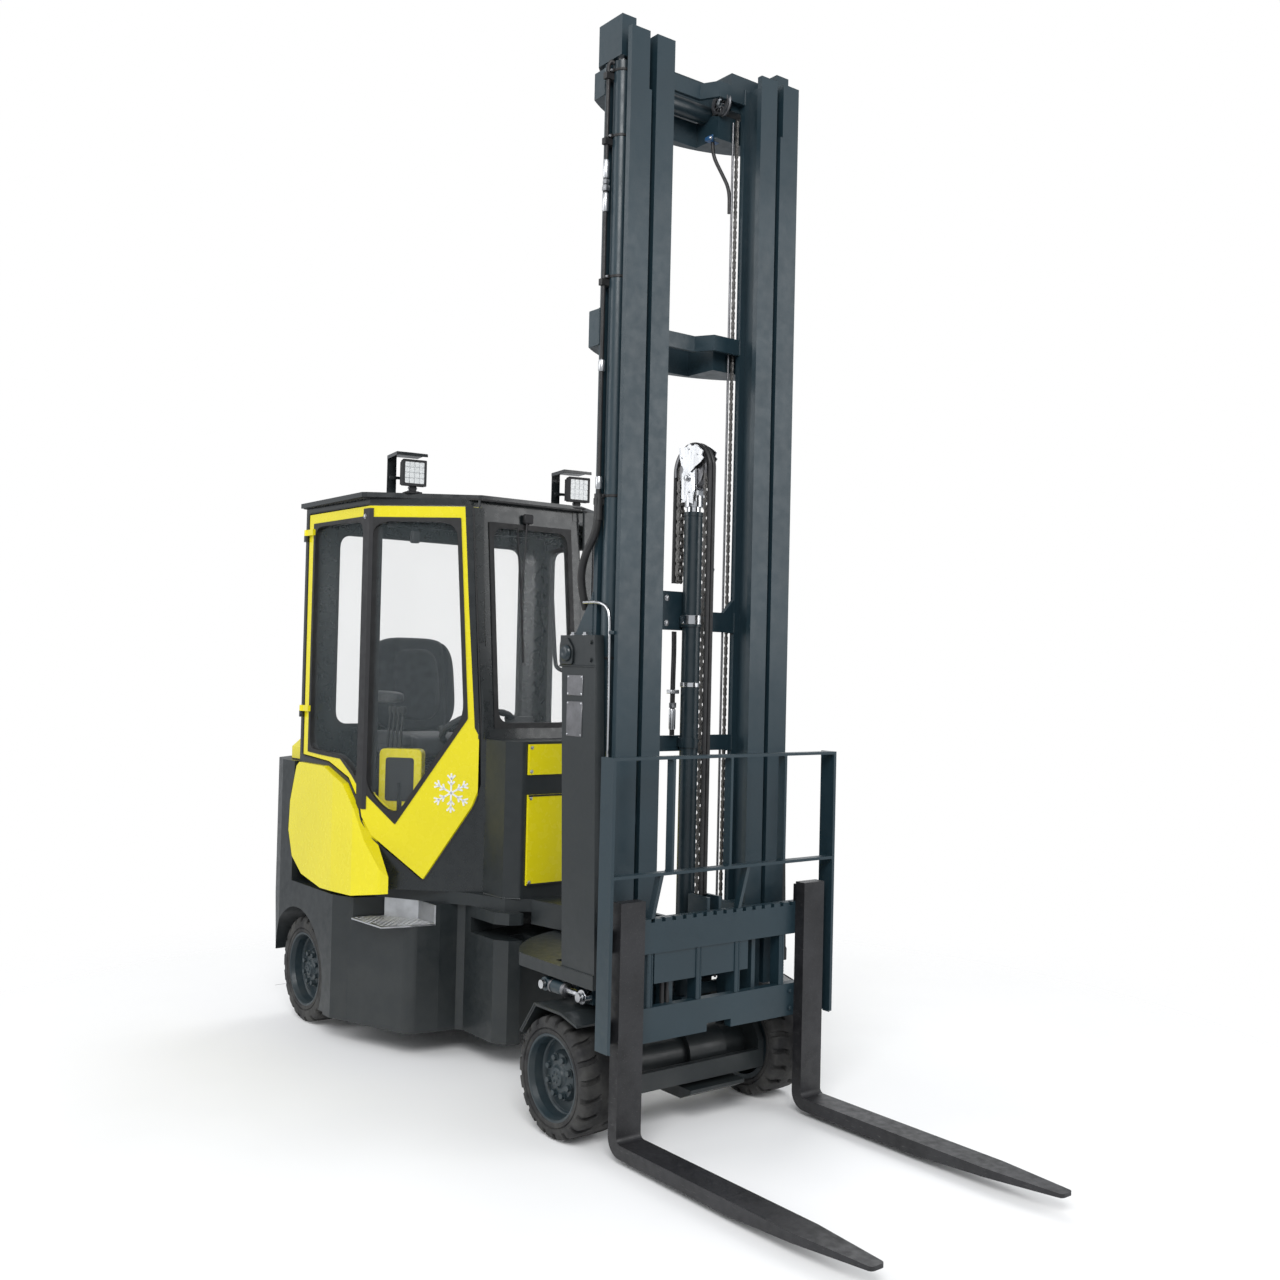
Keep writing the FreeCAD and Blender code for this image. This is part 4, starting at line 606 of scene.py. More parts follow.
def paint(name, colour, roughness, drift=0.08, dust=0.0, coat=0.0):
    """Paint: colour drifts over a hand's width, gloss over a finger's, with a fine skin and low dust."""
    surface = Surface(name, roughness)
    output = surface.ramp(surface.noise(3.5, 4.0), shade(colour, 1 - drift), shade(colour, 1 + drift))
    if dust:
        low = surface.span(surface.height(), dust, dust * 0.12, 0.0, 1.1)
        patches = surface.span(surface.noise(9.0, 6.0), 0.1, 1.0, 0.35, 0.7)
        output = surface.mixed(surface.product(low, patches), output, tuple(colours().dust))
    surface.colour(output)
    surface.rough(surface.span(surface.noise(28.0, 4.0), roughness - 0.07, roughness + 0.1, 0.3, 0.7))
    surface.bump(surface.noise(420.0, 2.0), 0.12, 0.0004)
    surface.shader.inputs["Coat Weight"].default_value = coat
    surface.shader.inputs["Coat Roughness"].default_value = 0.12


def metal(name, colour, roughness, stretch=None, grain=0.15):
    """Bare metal: gloss runs in streaks and the tone drifts."""
    surface = Surface(name, roughness, 1.0)
    surface.colour(surface.ramp(surface.noise(14.0, 5.0, stretch), shade(colour, 0.8), shade(colour, 1.1)))
    surface.rough(surface.span(surface.noise(90.0, 4.0, stretch), roughness - 0.06, roughness + grain,
                               0.3, 0.7))
    surface.bump(surface.noise(600.0, 2.0, stretch), 0.08, 0.0003)


def rubber(name, colour, roughness, dust, grain=350.0):
    """Rubber: fine grain, with dust in patches."""
    surface = Surface(name, roughness)
    output = surface.ramp(surface.noise(20.0, 5.0), shade(colour, 0.75), shade(colour, 1.5))
    output = surface.mixed(surface.span(surface.noise(11.0, 7.0), 0.0, dust, 0.35, 0.75), output,
                           tuple(colours().dust))
    surface.colour(output)
    surface.rough(surface.span(surface.noise(60.0, 4.0), roughness - 0.1, roughness + 0.1, 0.3, 0.7))
    surface.bump(surface.noise(grain, 4.0), 0.35, 0.0008)


def worn_steel(name, colour):
    """Fork paint: near black, scratched along the blade to bare steel."""
    surface = Surface(name, 0.45)
    base = surface.ramp(surface.noise(6.0, 5.0), shade(colour, 0.7), shade(colour, 1.4))
    scratches = surface.span(surface.noise(60.0, 8.0, (6.0, 0.6, 6.0)), 0.0, 0.55, 0.62, 0.78)
    surface.colour(surface.mixed(scratches, base, (0.16, 0.155, 0.15)))
    surface.rough(surface.span(surface.noise(35.0, 5.0), 0.32, 0.6, 0.3, 0.7))
    surface.bump(surface.noise(120.0, 6.0, (6.0, 0.6, 6.0)), 0.2, 0.0006)


def cloth(name, colour):
    """Seat cloth: two crossed weaves of fine threads over a slow drift of tone."""
    surface = Surface(name, 0.85)
    surface.colour(surface.ramp(surface.noise(30.0, 6.0), shade(colour, 0.7), shade(colour, 1.5)))
    waves = []
    for direction in ("X", "Z"):
        node = surface.nodes.new("ShaderNodeTexWave")
        node.bands_direction = direction
        node.inputs["Scale"].default_value = 170.0
        node.inputs["Distortion"].default_value = 0.6
        surface.links.new(surface.place, node.inputs["Vector"])
        waves.append(node.outputs["Fac"])
    surface.bump(surface.product(*waves), 0.5, 0.0008)
    surface.shader.inputs["Sheen Weight"].default_value = 0.25


def glass(name, tint, alpha):
    """A clear pane: mostly see-through, with a faint unevenness in its gloss."""
    surface = Surface(name, 0.04)
    surface.colour(surface.ramp(surface.noise(2.0), shade(tint, 0.95), tint))
    surface.rough(surface.span(surface.noise(5.0, 3.0), 0.02, 0.07, 0.3, 0.7))
    surface.shader.inputs["Alpha"].default_value = alpha
    surface.shader.inputs["Specular IOR Level"].default_value = 0.6


def lens(name, colour, strength):
    """A lit-looking lamp cell: a bright faceted face behind clear plastic."""
    surface = Surface(name, 0.15)
    surface.colour(surface.ramp(surface.noise(240.0, 2.0), shade(colour, 0.7), colour))
    surface.bump(surface.noise(500.0, 1.0), 0.6, 0.001)
    surface.shader.inputs["Coat Weight"].default_value = 0.8
    surface.shader.inputs["Emission Color"].default_value = (*colour, 1.0)
    surface.shader.inputs["Emission Strength"].default_value = strength


CAD_FINISHES = {
    "slate": ("mast_outer", "mast_inner", "lift_barrels", "carriage", "load_backrest", "tilt_barrel_right",
              "tilt_barrel_left"),
    "gunmetal": ("ram_barrel",),
    "charcoal": ("front_frame", "drive_axle", "chassis", "chassis_deck", "counterweight", "rear_frame",
                 "nose_housing", "tow_bracket", "rear_axle"),
    "cab_black": ("cab_frame", "cab_hinges", "roof"),
    "yellow": ("nose_panels", "wing_panels", "side_pod", "hood", "door_frame"),
    "fork_steel": ("fork_right", "fork_left"),
    "chrome": ("lift_rods", "ram_head", "tilt_rod_right", "tilt_rod_left"),
    "sheave": ("ram_sheave", "king_pin"),
    "tread_plate": ("steps",),
    "rim": ("front_right_rim", "front_left_rim", "rear_right_rim", "rear_left_rim"),
    "glass": ("cab_glass", "door_glass"),
    "hose": ("mast_hose",),
    "plastic": ("console", "work_lamps", "seat"),
    "chain": ("ram_chain",),
    "tyre": ("front_right_tyre", "front_left_tyre", "rear_right_tyre", "rear_left_tyre"),
}


class TRUCK_OT_finishes(bpy.types.Operator):
    """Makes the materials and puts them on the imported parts"""
    bl_idname = "truck.finishes"
    bl_label = "Finishes"

    def execute(self, context):
        tones = colours()
        slate = tuple(tones.slate)
        charcoal = tuple(tones.charcoal)
        bright = tuple(tones.bright)
        black = tuple(tones.rubber)
        paint("slate", slate, 0.42, coat=0.15)
        paint("gunmetal", shade(slate, 0.6), 0.38, coat=0.2)
        paint("charcoal", charcoal, 0.42, dust=0.14, coat=0.1)
        paint("cab_black", shade(charcoal, 0.75), 0.28, coat=0.4)
        paint("yellow", tuple(tones.yellow), 0.24, drift=0.02, dust=0.03, coat=0.4)
        paint("rim", shade(slate, 0.75), 0.4, dust=0.3)
        paint("plastic", (0.018, 0.018, 0.02), 0.6)
        paint("white", (0.85, 0.86, 0.86), 0.45, drift=0.03)
        paint("blue", (0.02, 0.09, 0.22), 0.45)
        paint("red", (0.45, 0.01, 0.008), 0.2, coat=0.6)
        paint("amber", (0.75, 0.22, 0.01), 0.2, coat=0.6)
        metal("chrome", bright, 0.16, (1.0, 1.0, 0.15))
        metal("zinc", shade(bright, 0.9), 0.3)
        metal("sheave", (0.22, 0.22, 0.23), 0.42)
        metal("chain", (0.16, 0.155, 0.15), 0.45)
        metal("tread_plate", (0.62, 0.63, 0.65), 0.34)
        rubber("tyre", black, 0.8, 0.55)
        rubber("hose", black, 0.5, 0.1)
        rubber("seal", shade(black, 0.8), 0.55, 0.04)
        worn_steel("fork_steel", (0.014, 0.014, 0.016))
        cloth("seat_cloth", (0.022, 0.023, 0.027))
        glass("glass", (0.30, 0.36, 0.38), 0.06)
        lens("lamp_cell", (0.80, 0.82, 0.82), 0.10)
        for finish, nodes in CAD_FINISHES.items():
            for node in nodes:
                materials = frame["nodes"][node].data.materials
                materials.clear()
                materials.append(FINISHES[finish])
        return {"FINISHED"}


def placement(axes, place):
    """A matrix that turns an object's own axes to the given ones and moves it to a place."""
    matrix = Matrix.Identity(4)
    for column, values in enumerate((*axes, place)):
        for row in range(3):
            matrix[row][column] = values[row]
    return matrix


def add_camera(scene):
    """The view's axes come from yaw and pitch and are then rolled about its direction."""
    lens_data = bpy.data.cameras.new("Camera")
    lens_data.lens = CAMERA_LENS
    lens_data.sensor_width = 36.0
    lens_data.clip_end = 200.0
    camera = bpy.data.objects.new("Camera", lens_data)
    forward = np.array([math.sin(CAMERA_YAW) * math.cos(CAMERA_PITCH),
                        math.cos(CAMERA_YAW) * math.cos(CAMERA_PITCH), math.sin(CAMERA_PITCH)])
    right = np.array([math.cos(CAMERA_YAW), -math.sin(CAMERA_YAW), 0.0])
    upward = np.cross(right, forward)
    rolled_right = math.cos(CAMERA_ROLL) * right + math.sin(CAMERA_ROLL) * upward
    rolled_up = -math.sin(CAMERA_ROLL) * right + math.cos(CAMERA_ROLL) * upward
    camera.matrix_world = placement((rolled_right, rolled_up, -forward), CAMERA_AT)
    scene.collection.objects.link(camera)
    scene.camera = camera


def add_floor(scene):
    """A pale floor that fades away with distance, so that it shows only the object's shadow."""
    mesh = bpy.data.meshes.new("floor")
    corners = [(x * FLOOR_REACH, y * FLOOR_REACH, FLOOR_Z) for x, y in ((-1, -1), (1, -1), (1, 1), (-1, 1))]
    mesh.from_pydata(corners, [], [(0, 1, 2, 3)])
    floor = bpy.data.objects.new("floor", mesh)
    scene.collection.objects.link(floor)
    surface = Surface("floor", 0.9)
    surface.colour(surface.ramp(surface.noise(0.8), (0.93, 0.93, 0.93), (0.97, 0.97, 0.97)))
    distance = surface.nodes.new("ShaderNodeVectorMath")
    distance.operation = "LENGTH"
    surface.links.new(surface.place, distance.inputs[0])
    blend = surface.nodes.new("ShaderNodeMixShader")
    clear = surface.nodes.new("ShaderNodeBsdfTransparent")
    surface.links.new(surface.span(distance.outputs["Value"], 0.0, 1.0, *FLOOR_FADE), blend.inputs["Fac"])
    surface.links.new(surface.shader.outputs["BSDF"], blend.inputs[1])
    surface.links.new(clear.outputs["BSDF"], blend.inputs[2])
    surface.links.new(blend.outputs["Shader"], surface.nodes["Material Output"].inputs["Surface"])
    mesh.materials.append(surface.material)


def add_world(scene):
    """A white backdrop for the camera and through glass, and a dimmer sky for everything else."""
    world = bpy.data.worlds.new("World")
    scene.world = world
    world.use_nodes = True
    nodes = world.node_tree.nodes
    links = world.node_tree.links
    nodes.clear()
    path = nodes.new("ShaderNodeLightPath")
    backdrop = nodes.new("ShaderNodeBackground")
    backdrop.inputs["Color"].default_value = (1.0, 1.0, 1.0, 1.0)
    backdrop.inputs["Strength"].default_value = 1.0
    sky = nodes.new("ShaderNodeBackground")
    sky.inputs["Color"].default_value = (0.93, 0.96, 1.0, 1.0)
    sky.inputs["Strength"].default_value = SKY_STRENGTH
    seen = nodes.new("ShaderNodeMath")
    seen.operation = "MAXIMUM"
    links.new(path.outputs["Is Camera Ray"], seen.inputs[0])
    links.new(path.outputs["Is Transmission Ray"], seen.inputs[1])
    mix = nodes.new("ShaderNodeMixShader")
    links.new(seen.outputs["Value"], mix.inputs["Fac"])
    links.new(sky.outputs["Background"], mix.inputs[1])
    links.new(backdrop.outputs["Background"], mix.inputs[2])
    links.new(mix.outputs["Shader"], nodes.new("ShaderNodeOutputWorld").inputs["Surface"])


def add_light(scene, name, at, size, power):
    """A square soft light that faces the middle of the object."""
    data = bpy.data.lights.new(name, "AREA")
    data.size = size
    data.energy = power
    light = bpy.data.objects.new(name, data)
    aim = unit(np.array(LIGHTS_AIM) - np.array(at))
    side = unit(np.cross(aim, [0.0, 0.0, 1.0]))
    light.matrix_world = placement((side, np.cross(side, aim), -aim), at)
    scene.collection.objects.link(light)


class TRUCK_OT_stage(bpy.types.Operator):
    """Camera, floor, world and lights"""
    bl_idname = "truck.stage"
    bl_label = "Stage"

    def execute(self, context):
        context.scene.view_settings.view_transform = "Standard"
        add_camera(context.scene)
        add_floor(context.scene)
        add_world(context.scene)
        for light in LIGHTS:
            add_light(context.scene, *light)
        return {"FINISHED"}


# Wheels: the axle's y, the radii of tyre and rim, and how far out the inner and outer faces lie

WHEELS = {"front": (22.0, 203.0, 147.0, 337.0, 515.0), "rear": (1830.0, 228.5, 160.0, 436.0, 614.0)}
DISC_DEPTH = 62.0
NUT_CIRCLE = 64.0
SCREW_CIRCLE = 17.0


def tyre_shape(side, axle_y, tyre_r, rim_r, inner_x, outer_x):
    """Rows run across the tyre from bead to bead and columns round it. A column's angle is sheared from one
    shoulder to the other by half a lug, and between lugs each point is pushed in along its own normal."""
    depth = sizes().tread_depth * METRE
    lugs = sizes().tread_lugs
    width = outer_x - inner_x
    # across share, radius, push inwards (across, radius), shear share
    rows = np.array([
        (0.02, rim_r - 2, 0, 0, 0), (0.00, rim_r + 4, 0, 0, 0), (0.00, rim_r + 13, 0, 0, 0),
        (0.02, rim_r + 15, 0, 0, 0), (0.02, rim_r + 17, 0, 0, 0), (-0.01, rim_r + 20, 0, 0, 0),
        (-0.01, tyre_r - 24, 0.1, 0, 0), (0.00, tyre_r - 17, 0.9, 0, 0), (0.015, tyre_r - 9, 0.9, -0.4, 0),
        (0.05, tyre_r - 3, 0.6, -0.9, 0), (0.10, tyre_r - 0.6, 0, -1, 0), (0.20, tyre_r, 0, -1, 0.02),
        (0.30, tyre_r + 0.4, 0, -1, 0.10), (0.36, tyre_r + 0.5, 0, -0.95, 0.18),
        (0.385, tyre_r + 0.5, 0, -0.1, 0.22), (0.50, tyre_r + 0.5, 0, 0, 0.25)])
    opposite = rows[-2::-1].copy()
    opposite[:, 0] = 1 - opposite[:, 0]
    opposite[:, 2] = -opposite[:, 2]
    opposite[:, 4] = 0.5 - opposite[:, 4]
    rows = np.concatenate([rows, opposite])
    half_groove = 0.165
    slope = 0.04
    share = np.array([-0.5, -0.38, -0.27, -0.19, -0.165, -0.125, -0.05, 0.05, 0.125, 0.165, 0.19, 0.27,
                      0.38])
    groove = np.tile(np.clip((half_groove - np.abs(share)) / slope, 0, 1), lugs)
    columns = (np.arange(lugs)[:, None] + share[None]).reshape(-1)
    angle = (columns[:, None] + rows[None, :, 4]) * (2 * math.pi / lugs)
    push = groove[:, None] * depth
    across = inner_x + rows[None, :, 0] * width + push * rows[None, :, 2]
    radius = rows[None, :, 1] + push * rows[None, :, 3]
    points = np.stack([side * across, axle_y + radius * np.cos(angle), tyre_r + radius * np.sin(angle)], -1)
    points[..., 2] = np.maximum(points[..., 2], 0.0)
    return points.reshape(-1, 3), [grid_faces(len(columns), len(rows), True, True)]


def dress_wheel(wheel, side, axle_y, tyre_r, rim_r, inner_x, outer_x):
    """One wheel's tyre, rim edges, cap, nuts and screws. Profiles are (out of the disc, radius)."""
    body = f"{wheel}_wheel"
    centre = (0, axle_y, tyre_r)
    disc = side * (outer_x - DISC_DEPTH)
    tread = tyre_shape(side, axle_y, tyre_r, rim_r, inner_x, outer_x)
    tyre = make(f"{wheel}_tread", tread, "tyre", body, 30.0)
    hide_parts(f"{wheel}_tyre")
    lip = [(side * (outer_x - back), rim_r - drop)
           for back, drop in ((7, 10), (7, 2), (3, 1.5), (2.5, 5), (4, 9))]
    step = [(disc + side * out, rim_r - drop)
            for out, drop in ((6, 20), (10, 18), (10, 22), (7, 26), (1, 29))]
    edges = joined([turned(profile, centre, 0, 96, True) for profile in (lip, step)])
    make(f"{wheel}_lip", edges, "rim", body)
    cap = [(disc + side * out, radius)
           for out, radius in ((26, 0), (42, 0), (42, 24), (38, 31), (30, 34), (26, 40))]
    make(f"{wheel}_hub_cap", turned(cap, centre, 0, 48), "rim", body)
    nut_level = 22.5
    screw_level = 41
    nuts = ring_places(8, NUT_CIRCLE, (disc + side * nut_level, axle_y, tyre_r), 0, start=0.5)
    screws = ring_places(6, SCREW_CIRCLE, (disc + side * screw_level, axle_y, tyre_r), 0)
    heads = joined([bolts(nuts, 0, side, sizes().nut_radius * METRE, 15.0),
                    bolts(screws, 0, side, 4.0, 4.0)])
    make(f"{wheel}_nuts", heads, "rim", body)


class TRUCK_OT_tyres(bpy.types.Operator):
    """Solid tyres with lugs that reach in from both shoulders, rim edges, hub caps, nuts and screws"""
    bl_idname = "truck.tyres"
    bl_label = "Tyres and wheels"

    def execute(self, context):
        for end, measures in WHEELS.items():
            for name, side in SIDES:
                dress_wheel(f"{end}_{name}", side, *measures)
        return {"FINISHED"}


# Free lift cylinder, its chain and hoses

def link_plate(length, height, x_low, x_high):
    """A chain plate with round ends and a waist, standing along Z."""
    angle = np.linspace(-math.pi / 2, math.pi / 2, 5)
    waist = height * 0.36
    right = np.stack([height / 2 * np.sin(angle), length / 2 + height / 2 * np.cos(angle)], -1)
    outline = np.concatenate([right, [[waist, 0.0]], -right, [[-waist, 0.0]]])
    return plate(outline, 0, x_low, x_high, 0.5)


def chain_points(radius, front_z, rear_z, pitch):
    """Places (y, z) of the pins of a chain that goes up in front, over the sheave and down behind."""
    front = SHEAVE_Z - front_z
    length = front + math.pi * radius + SHEAVE_Z - rear_z
    s = np.arange(0, length, pitch)
    theta = np.clip((s - front) / radius, 0, math.pi)
    y = RAM_Y - radius * np.cos(theta)
    below_front = np.minimum(s - front, 0)
    below_rear = np.maximum(s - front - math.pi * radius, 0)
    z = SHEAVE_Z + radius * np.sin(theta) + below_front - below_rear
    return y, z


def chain_shape(y, z, x, plates, pin_radius, pin_half, height):
    """Links between neighbouring pins, wide and narrow by turns, and a pin at each joint."""
    mid = np.stack([np.full(len(y) - 1, x), (y[1:] + y[:-1]) / 2, (z[1:] + z[:-1]) / 2], -1)
    turn = np.arctan2(-(y[1:] - y[:-1]), z[1:] - z[:-1])
    pitch = float(np.hypot(y[1] - y[0], z[1] - z[0]))
    parts = []
    for start, levels in enumerate(plates):
        for low, high in levels:
            parts.append(turned_copies(link_plate(pitch, height, low, high), mid[start::2], turn[start::2]))
    pin = rod(-pin_half, pin_half, pin_radius, steps=8)
    parts.append(copies(pin, np.stack([np.full(len(y), x), y, z], -1)))
    return joined(parts)


class TRUCK_OT_ram(bpy.types.Operator):
    """The free lift cylinder's chain, hoses with their guide, guards, clevises, bolts, bands and gland"""
    bl_idname = "truck.ram"
    bl_label = "Free lift cylinder"

    def execute(self, context):
        pitch = sizes().chain_pitch * METRE
        y, z = chain_points(CHAIN_RADIUS, *CHAIN_ENDS_Z, pitch)
        wide = ((-13, -10.5), (10.5, 13))
        narrow = ((-9.5, -7), (7, 9.5))
        chain = chain_shape(y, z, 0.0, (wide, narrow), pin_radius=7.5, pin_half=10.0, height=20.0)
        pins = copies(rod(-14.5, 14.5, 4, steps=10), np.stack([0 * y, y, z], -1))
        piece = make("lift_chain", joined([chain, pins]), "chain", "ram_head")
        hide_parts("ram_chain")

        front_y = RAM_Y - HOSE_LOOP_RADIUS
        rear_y = RAM_Y + HOSE_LOOP_RADIUS
        angle = np.linspace(0, math.pi, 25)[:, None]
        arc = np.concatenate([0 * angle, RAM_Y - HOSE_LOOP_RADIUS * np.cos(angle),
                              SHEAVE_Z + HOSE_LOOP_RADIUS * np.sin(angle)], 1)
        path = np.concatenate([[[0, front_y, 800]], arc, [[0, rear_y, 1900]]])
        hose = sweep(path, circle(sizes().hose_radius * METRE, 12))
        pair = joined([moved(hose, (x, 0, 0)) for x in (-9.0, 9.0)])
        make("head_hose", pair, "hose", "ram_head")
        channel = [(-20, 80), (-20, 90), (-17, 90), (-17, 84), (17, 84), (17, 90), (20, 90), (20, 80)]
        points, blocks = turned(channel, (0, RAM_Y, SHEAVE_Z), 0, 64, True)
        upper = points[:, 2] >= SHEAVE_Z - 20
        kept = [faces[upper[faces].all(1)] for faces in blocks]
        make("hose_guide", (points, kept), "sheave", "ram_head")

        # bright guard over the head, on both cheeks: a fan with a pointed foot
        fan = [(-44, -9), (-14, 21), (-2, 52), (2, 88), (-12, 82), (-22, 91), (-38, 84), (-54, 95),
               (-72, 84), (-88, 90), (-101, 84), (-112, 76), (-133, 62), (-126, 48), (-138, 38), (-121, 22),
               (-89, 8), (-58, -12)]
        guard = plate(np.array(fan, float) + np.array([2.0, SHEAVE_Z]), 0, -33.0, -29.0, 1.0)
        cheek = [(-14, 2292), (-14, 2200), (-82, 2176), (-82, 2210), (-70, 2285), (-48, 2312)]
        clevis = plate(cheek, 0, -32.5, -28.0, 1.0)
        make("head_guard", joined([both_sides(guard), both_sides(clevis)]), "chrome", "ram_head")
        axle_bolt = bolts([(-33, RAM_Y, 2272)], 0, -1, 11.0, 10.0)
        plate_places = [(-33, RAM_Y + ahead, level)
                        for ahead, level in ((-4, 2376), (-52, 2352), (34, 2348), (-10, 2222))]
        plate_bolts = bolts(plate_places, 0, -1, 3.5, 4.0)
        make("head_bolts", both_sides(joined([axle_bolt, plate_bolts])), "zinc", "ram_head")

        axis_place = (0, RAM_Y, 0)
        bands = [ring_band(axis_place, 2, 1749, 1781, 30, 40),
                 ring_band(axis_place, 2, 1525, 1541, 30, 35.5)]
        make("ram_bands", joined(bands), "chrome", "mast_inner")
        gland = ring_band(axis_place, 2, 2136, 2151, 30, 35.0)
        make("ram_gland", gland, "gunmetal", "mast_inner")
        return {"FINISHED"}


# Mast

CLIP_Z = (3609.0, 3382.0, 2896.0, 2143.0, 1590.0)
BRACKET_HOSES = ((-62.0, 2.0), (-48.0, 8.0))
FITTING_LEVELS = ((3150, 3215, 11.5), (3222, 3242, 14.5), (3246, 3262, 12.5), (3266, 3330, 11.0),
                  (2600, 2640, 12.0), (2196, 2240, 12.0))
PIPE_AXIS = (-408, -28, 0)
HEXAGON_FROM = 12.2
INNER_TIES_Z = ((1294, 1350), (1728, 1800), (2765, 2822), (3708, 3766))
OUTER_TIES_Z = ((2704, 2830), (3575, 3668))


class TRUCK_OT_mast(bpy.types.Operator):
    """Leaf chains, pipes, hoses, fittings, clips, weld beads, the tube and pulley on top, and a bent rod"""
    bl_idname = "truck.mast"
    bl_label = "Mast trim"

    def execute(self, context):
        # leaf chains behind the inner rails, seen edge on beside the rails' rear flanges
        leaf_pitch = 19.05
        leaf_x = -228.0
        leaf_y = 21.0
        z = np.arange(470.0, 3660.0, leaf_pitch)
        outer_links = ((-5, -3), (-1, 1), (3, 5))
        inner_links = ((-3, -1), (1, 3))
        leaf = chain_shape(0 * z + leaf_y, z, leaf_x, (outer_links, inner_links), pin_radius=3.0,
                           pin_half=6.0, height=13.0)
        make("leaf_chains", both_sides(leaf), "chain", "mast_inner")
        pipe = tube([(-208, 20, 452), (-208, 20, 3640)], 4.5, sides=10)
        make("inner_pipes", both_sides(pipe), "sheave", "mast_inner")

        # tube and pulley under the top tie
        make("top_tube", rod(-193, 193, 33, (0, 115, 3684), 0, 48), "gunmetal", "mast_inner")
        rim_profile = [(150, 34), (150, 46), (154, 46), (157, 42), (163, 42), (166, 46), (170, 46),
                       (170, 34), (166, 31), (154, 31)]
        rim = turned(rim_profile, PULLEY_CENTRE, 0, 64, True)
        spoke = block((154, 32, 3708), (166, 38, 3738), 1.0)
        spokes = [turned_about(spoke, 0, k * math.pi / 5, PULLEY_CENTRE) for k in range(10)]
        make("top_pulley", joined([rim] + spokes), "sheave", "mast_inner")
        hub_profile = [(146, 0), (146, 12), (149, 17), (171, 17), (176, 12), (176, 7), (171, 5), (171, 0)]
        make("pulley_hub", turned(hub_profile, PULLEY_CENTRE, 0, 32), "chrome", "mast_inner")
        bracket = block((175, 22, 3686), (182, 108, 3722), 2.0)
        make("pulley_bracket", bracket, "gunmetal", "mast_inner")

        # hose from the pulley, its clamp, and the line that curves down to the rail
        line = [(160, 76, 3706), (160, 77, 3660), (160, 82, 3577), (164, 80, 3520), (184, 50, 3450),
                (203, 28, 3390), (204, 28, 3300)]
        make("top_hose", tube(line, 7.0, 60.0), "hose", "mast_inner")
        clamp = joined([block((132, 68, 3574), (188, 96, 3590), 3.0),
                        block((148, 66, 3586), (172, 98, 3600), 3.0)])
        make("top_clamp", clamp, "blue", "mast_inner")
        clamp_bolts = bolts([(139, 68, 3582), (181, 68, 3582)], 1, -1, 4.5, 5.0)
        make("top_clamp_bolts", clamp_bolts, "zinc", "mast_inner")

        # clips round the right lift cylinder and the pipe beside it
        clips = []
        for z0 in CLIP_Z:
            clips.append(ring_band(LIFT_CYLINDER, 2, z0 + 26, z0 + 35, 31.0, 34.5))
            clips.append(block((-402, -44, z0 + 24), (-390, -22, z0 + 37), 2.0))
        make("cylinder_clips", joined(clips), "seal", "mast_outer")
        clip_bolts = bolts([(-402, -38, z0 + 30) for z0 in CLIP_Z], 0, -1, 4.0, 5.0)
        make("clip_bolts", clip_bolts, "zinc", "mast_outer")
        glands = [ring_band(LIFT_CYLINDER, 2, 3640, 3671, 19.0, 34.0),
                  ring_band(LIFT_CYLINDER, 2, 500, 524, 28.0, 34.0)]
        make("cylinder_glands", both_sides(joined(glands)), "gunmetal", "mast_outer")

        # fittings on the pipe, of which the widest are hexagons
        fittings = []
        for low, high, radius in FITTING_LEVELS:
            profile = [(low, 0), (low, radius * 0.8), (low + 4, radius), (high - 4, radius),
                       (high, radius * 0.8), (high, 0)]
            fittings.append(turned(profile, PIPE_AXIS, 2, 6 if radius > HEXAGON_FROM else 24))
        make("hose_fittings", joined(fittings), "zinc", "mast_outer")
        upper = [(-408, -28, 3636), (-410, -30, 3656), (-402, -36, 3672), (-392, -40, 3664)]
        make("upper_hose", tube(upper, 7.5, 12.0), "hose", "mast_outer")

        # weld beads where ties and braces meet the rails
        beads = []
        for z0, z1 in INNER_TIES_Z:
            beads.append(weld([(-238, -7, z0), (-205, -7, z0 + 1)]))
            beads.append(weld([(-239, -8, z0), (-239, -8, z1)]))
        beads.append(weld([(-283, 17, 3684), (-240, 17, 3684)]))
        make("inner_welds", both_sides(joined(beads)), "slate", "mast_inner")
        outer = []
        for z0, z1 in OUTER_TIES_Z:
            outer.append(weld([(-393, 12, z0), (-393, 12, z1)]))
            outer.append(weld([(-393, 12, z0), (-393, 40, z0)]))
        outer.append(weld([(-393, 12, 1465), (-393, 12, 1845)]))
        make("outer_welds", both_sides(joined(outer)), "slate", "mast_outer")

        # hoses that hang beside the cylinder below its bracket, with crimped fittings and a clamp
        hoses = [tube([(x, y0 - 24, 1722), (x, y0 - 26, 1650), (x - 2, y0 - 26, 1540), (x, y0 - 24, 1352)],
                      5.5, 40.0, 10) for x, y0 in BRACKET_HOSES]
        make("bracket_hoses", joined(hoses), "hose", "mast_inner")
        sleeve = [(1372, 0), (1372, 7), (1376, 8.5), (1440, 8.5), (1446, 7), (1446, 0)]
        crimps = [turned(sleeve, (x, y0 - 24, 0), 2, 20) for x, y0 in BRACKET_HOSES]
        crimps += [rod(1450, 1468, 10, (x, y0 - 25, 0), 2, 6) for x, y0 in BRACKET_HOSES]
        crimps.append(block((-76, -34, 1500), (-36, -8, 1514), 2.0))
        elbow = [(104, -18, 1868), (104, -24, 1905), (110, -22, 1935), (128, -10, 1958)]
        crimps.append(tube(elbow, 7.5, 24.0))
        make("bracket_fittings", joined(crimps), "zinc", "mast_inner")
        bracket_bolts = bolts([(x, -7, z0) for x in (-82, 82) for z0 in (1842, 1752)], 1, -1, 8.0, 7.0)
        make("bracket_bolts", bracket_bolts, "zinc", "mast_inner")

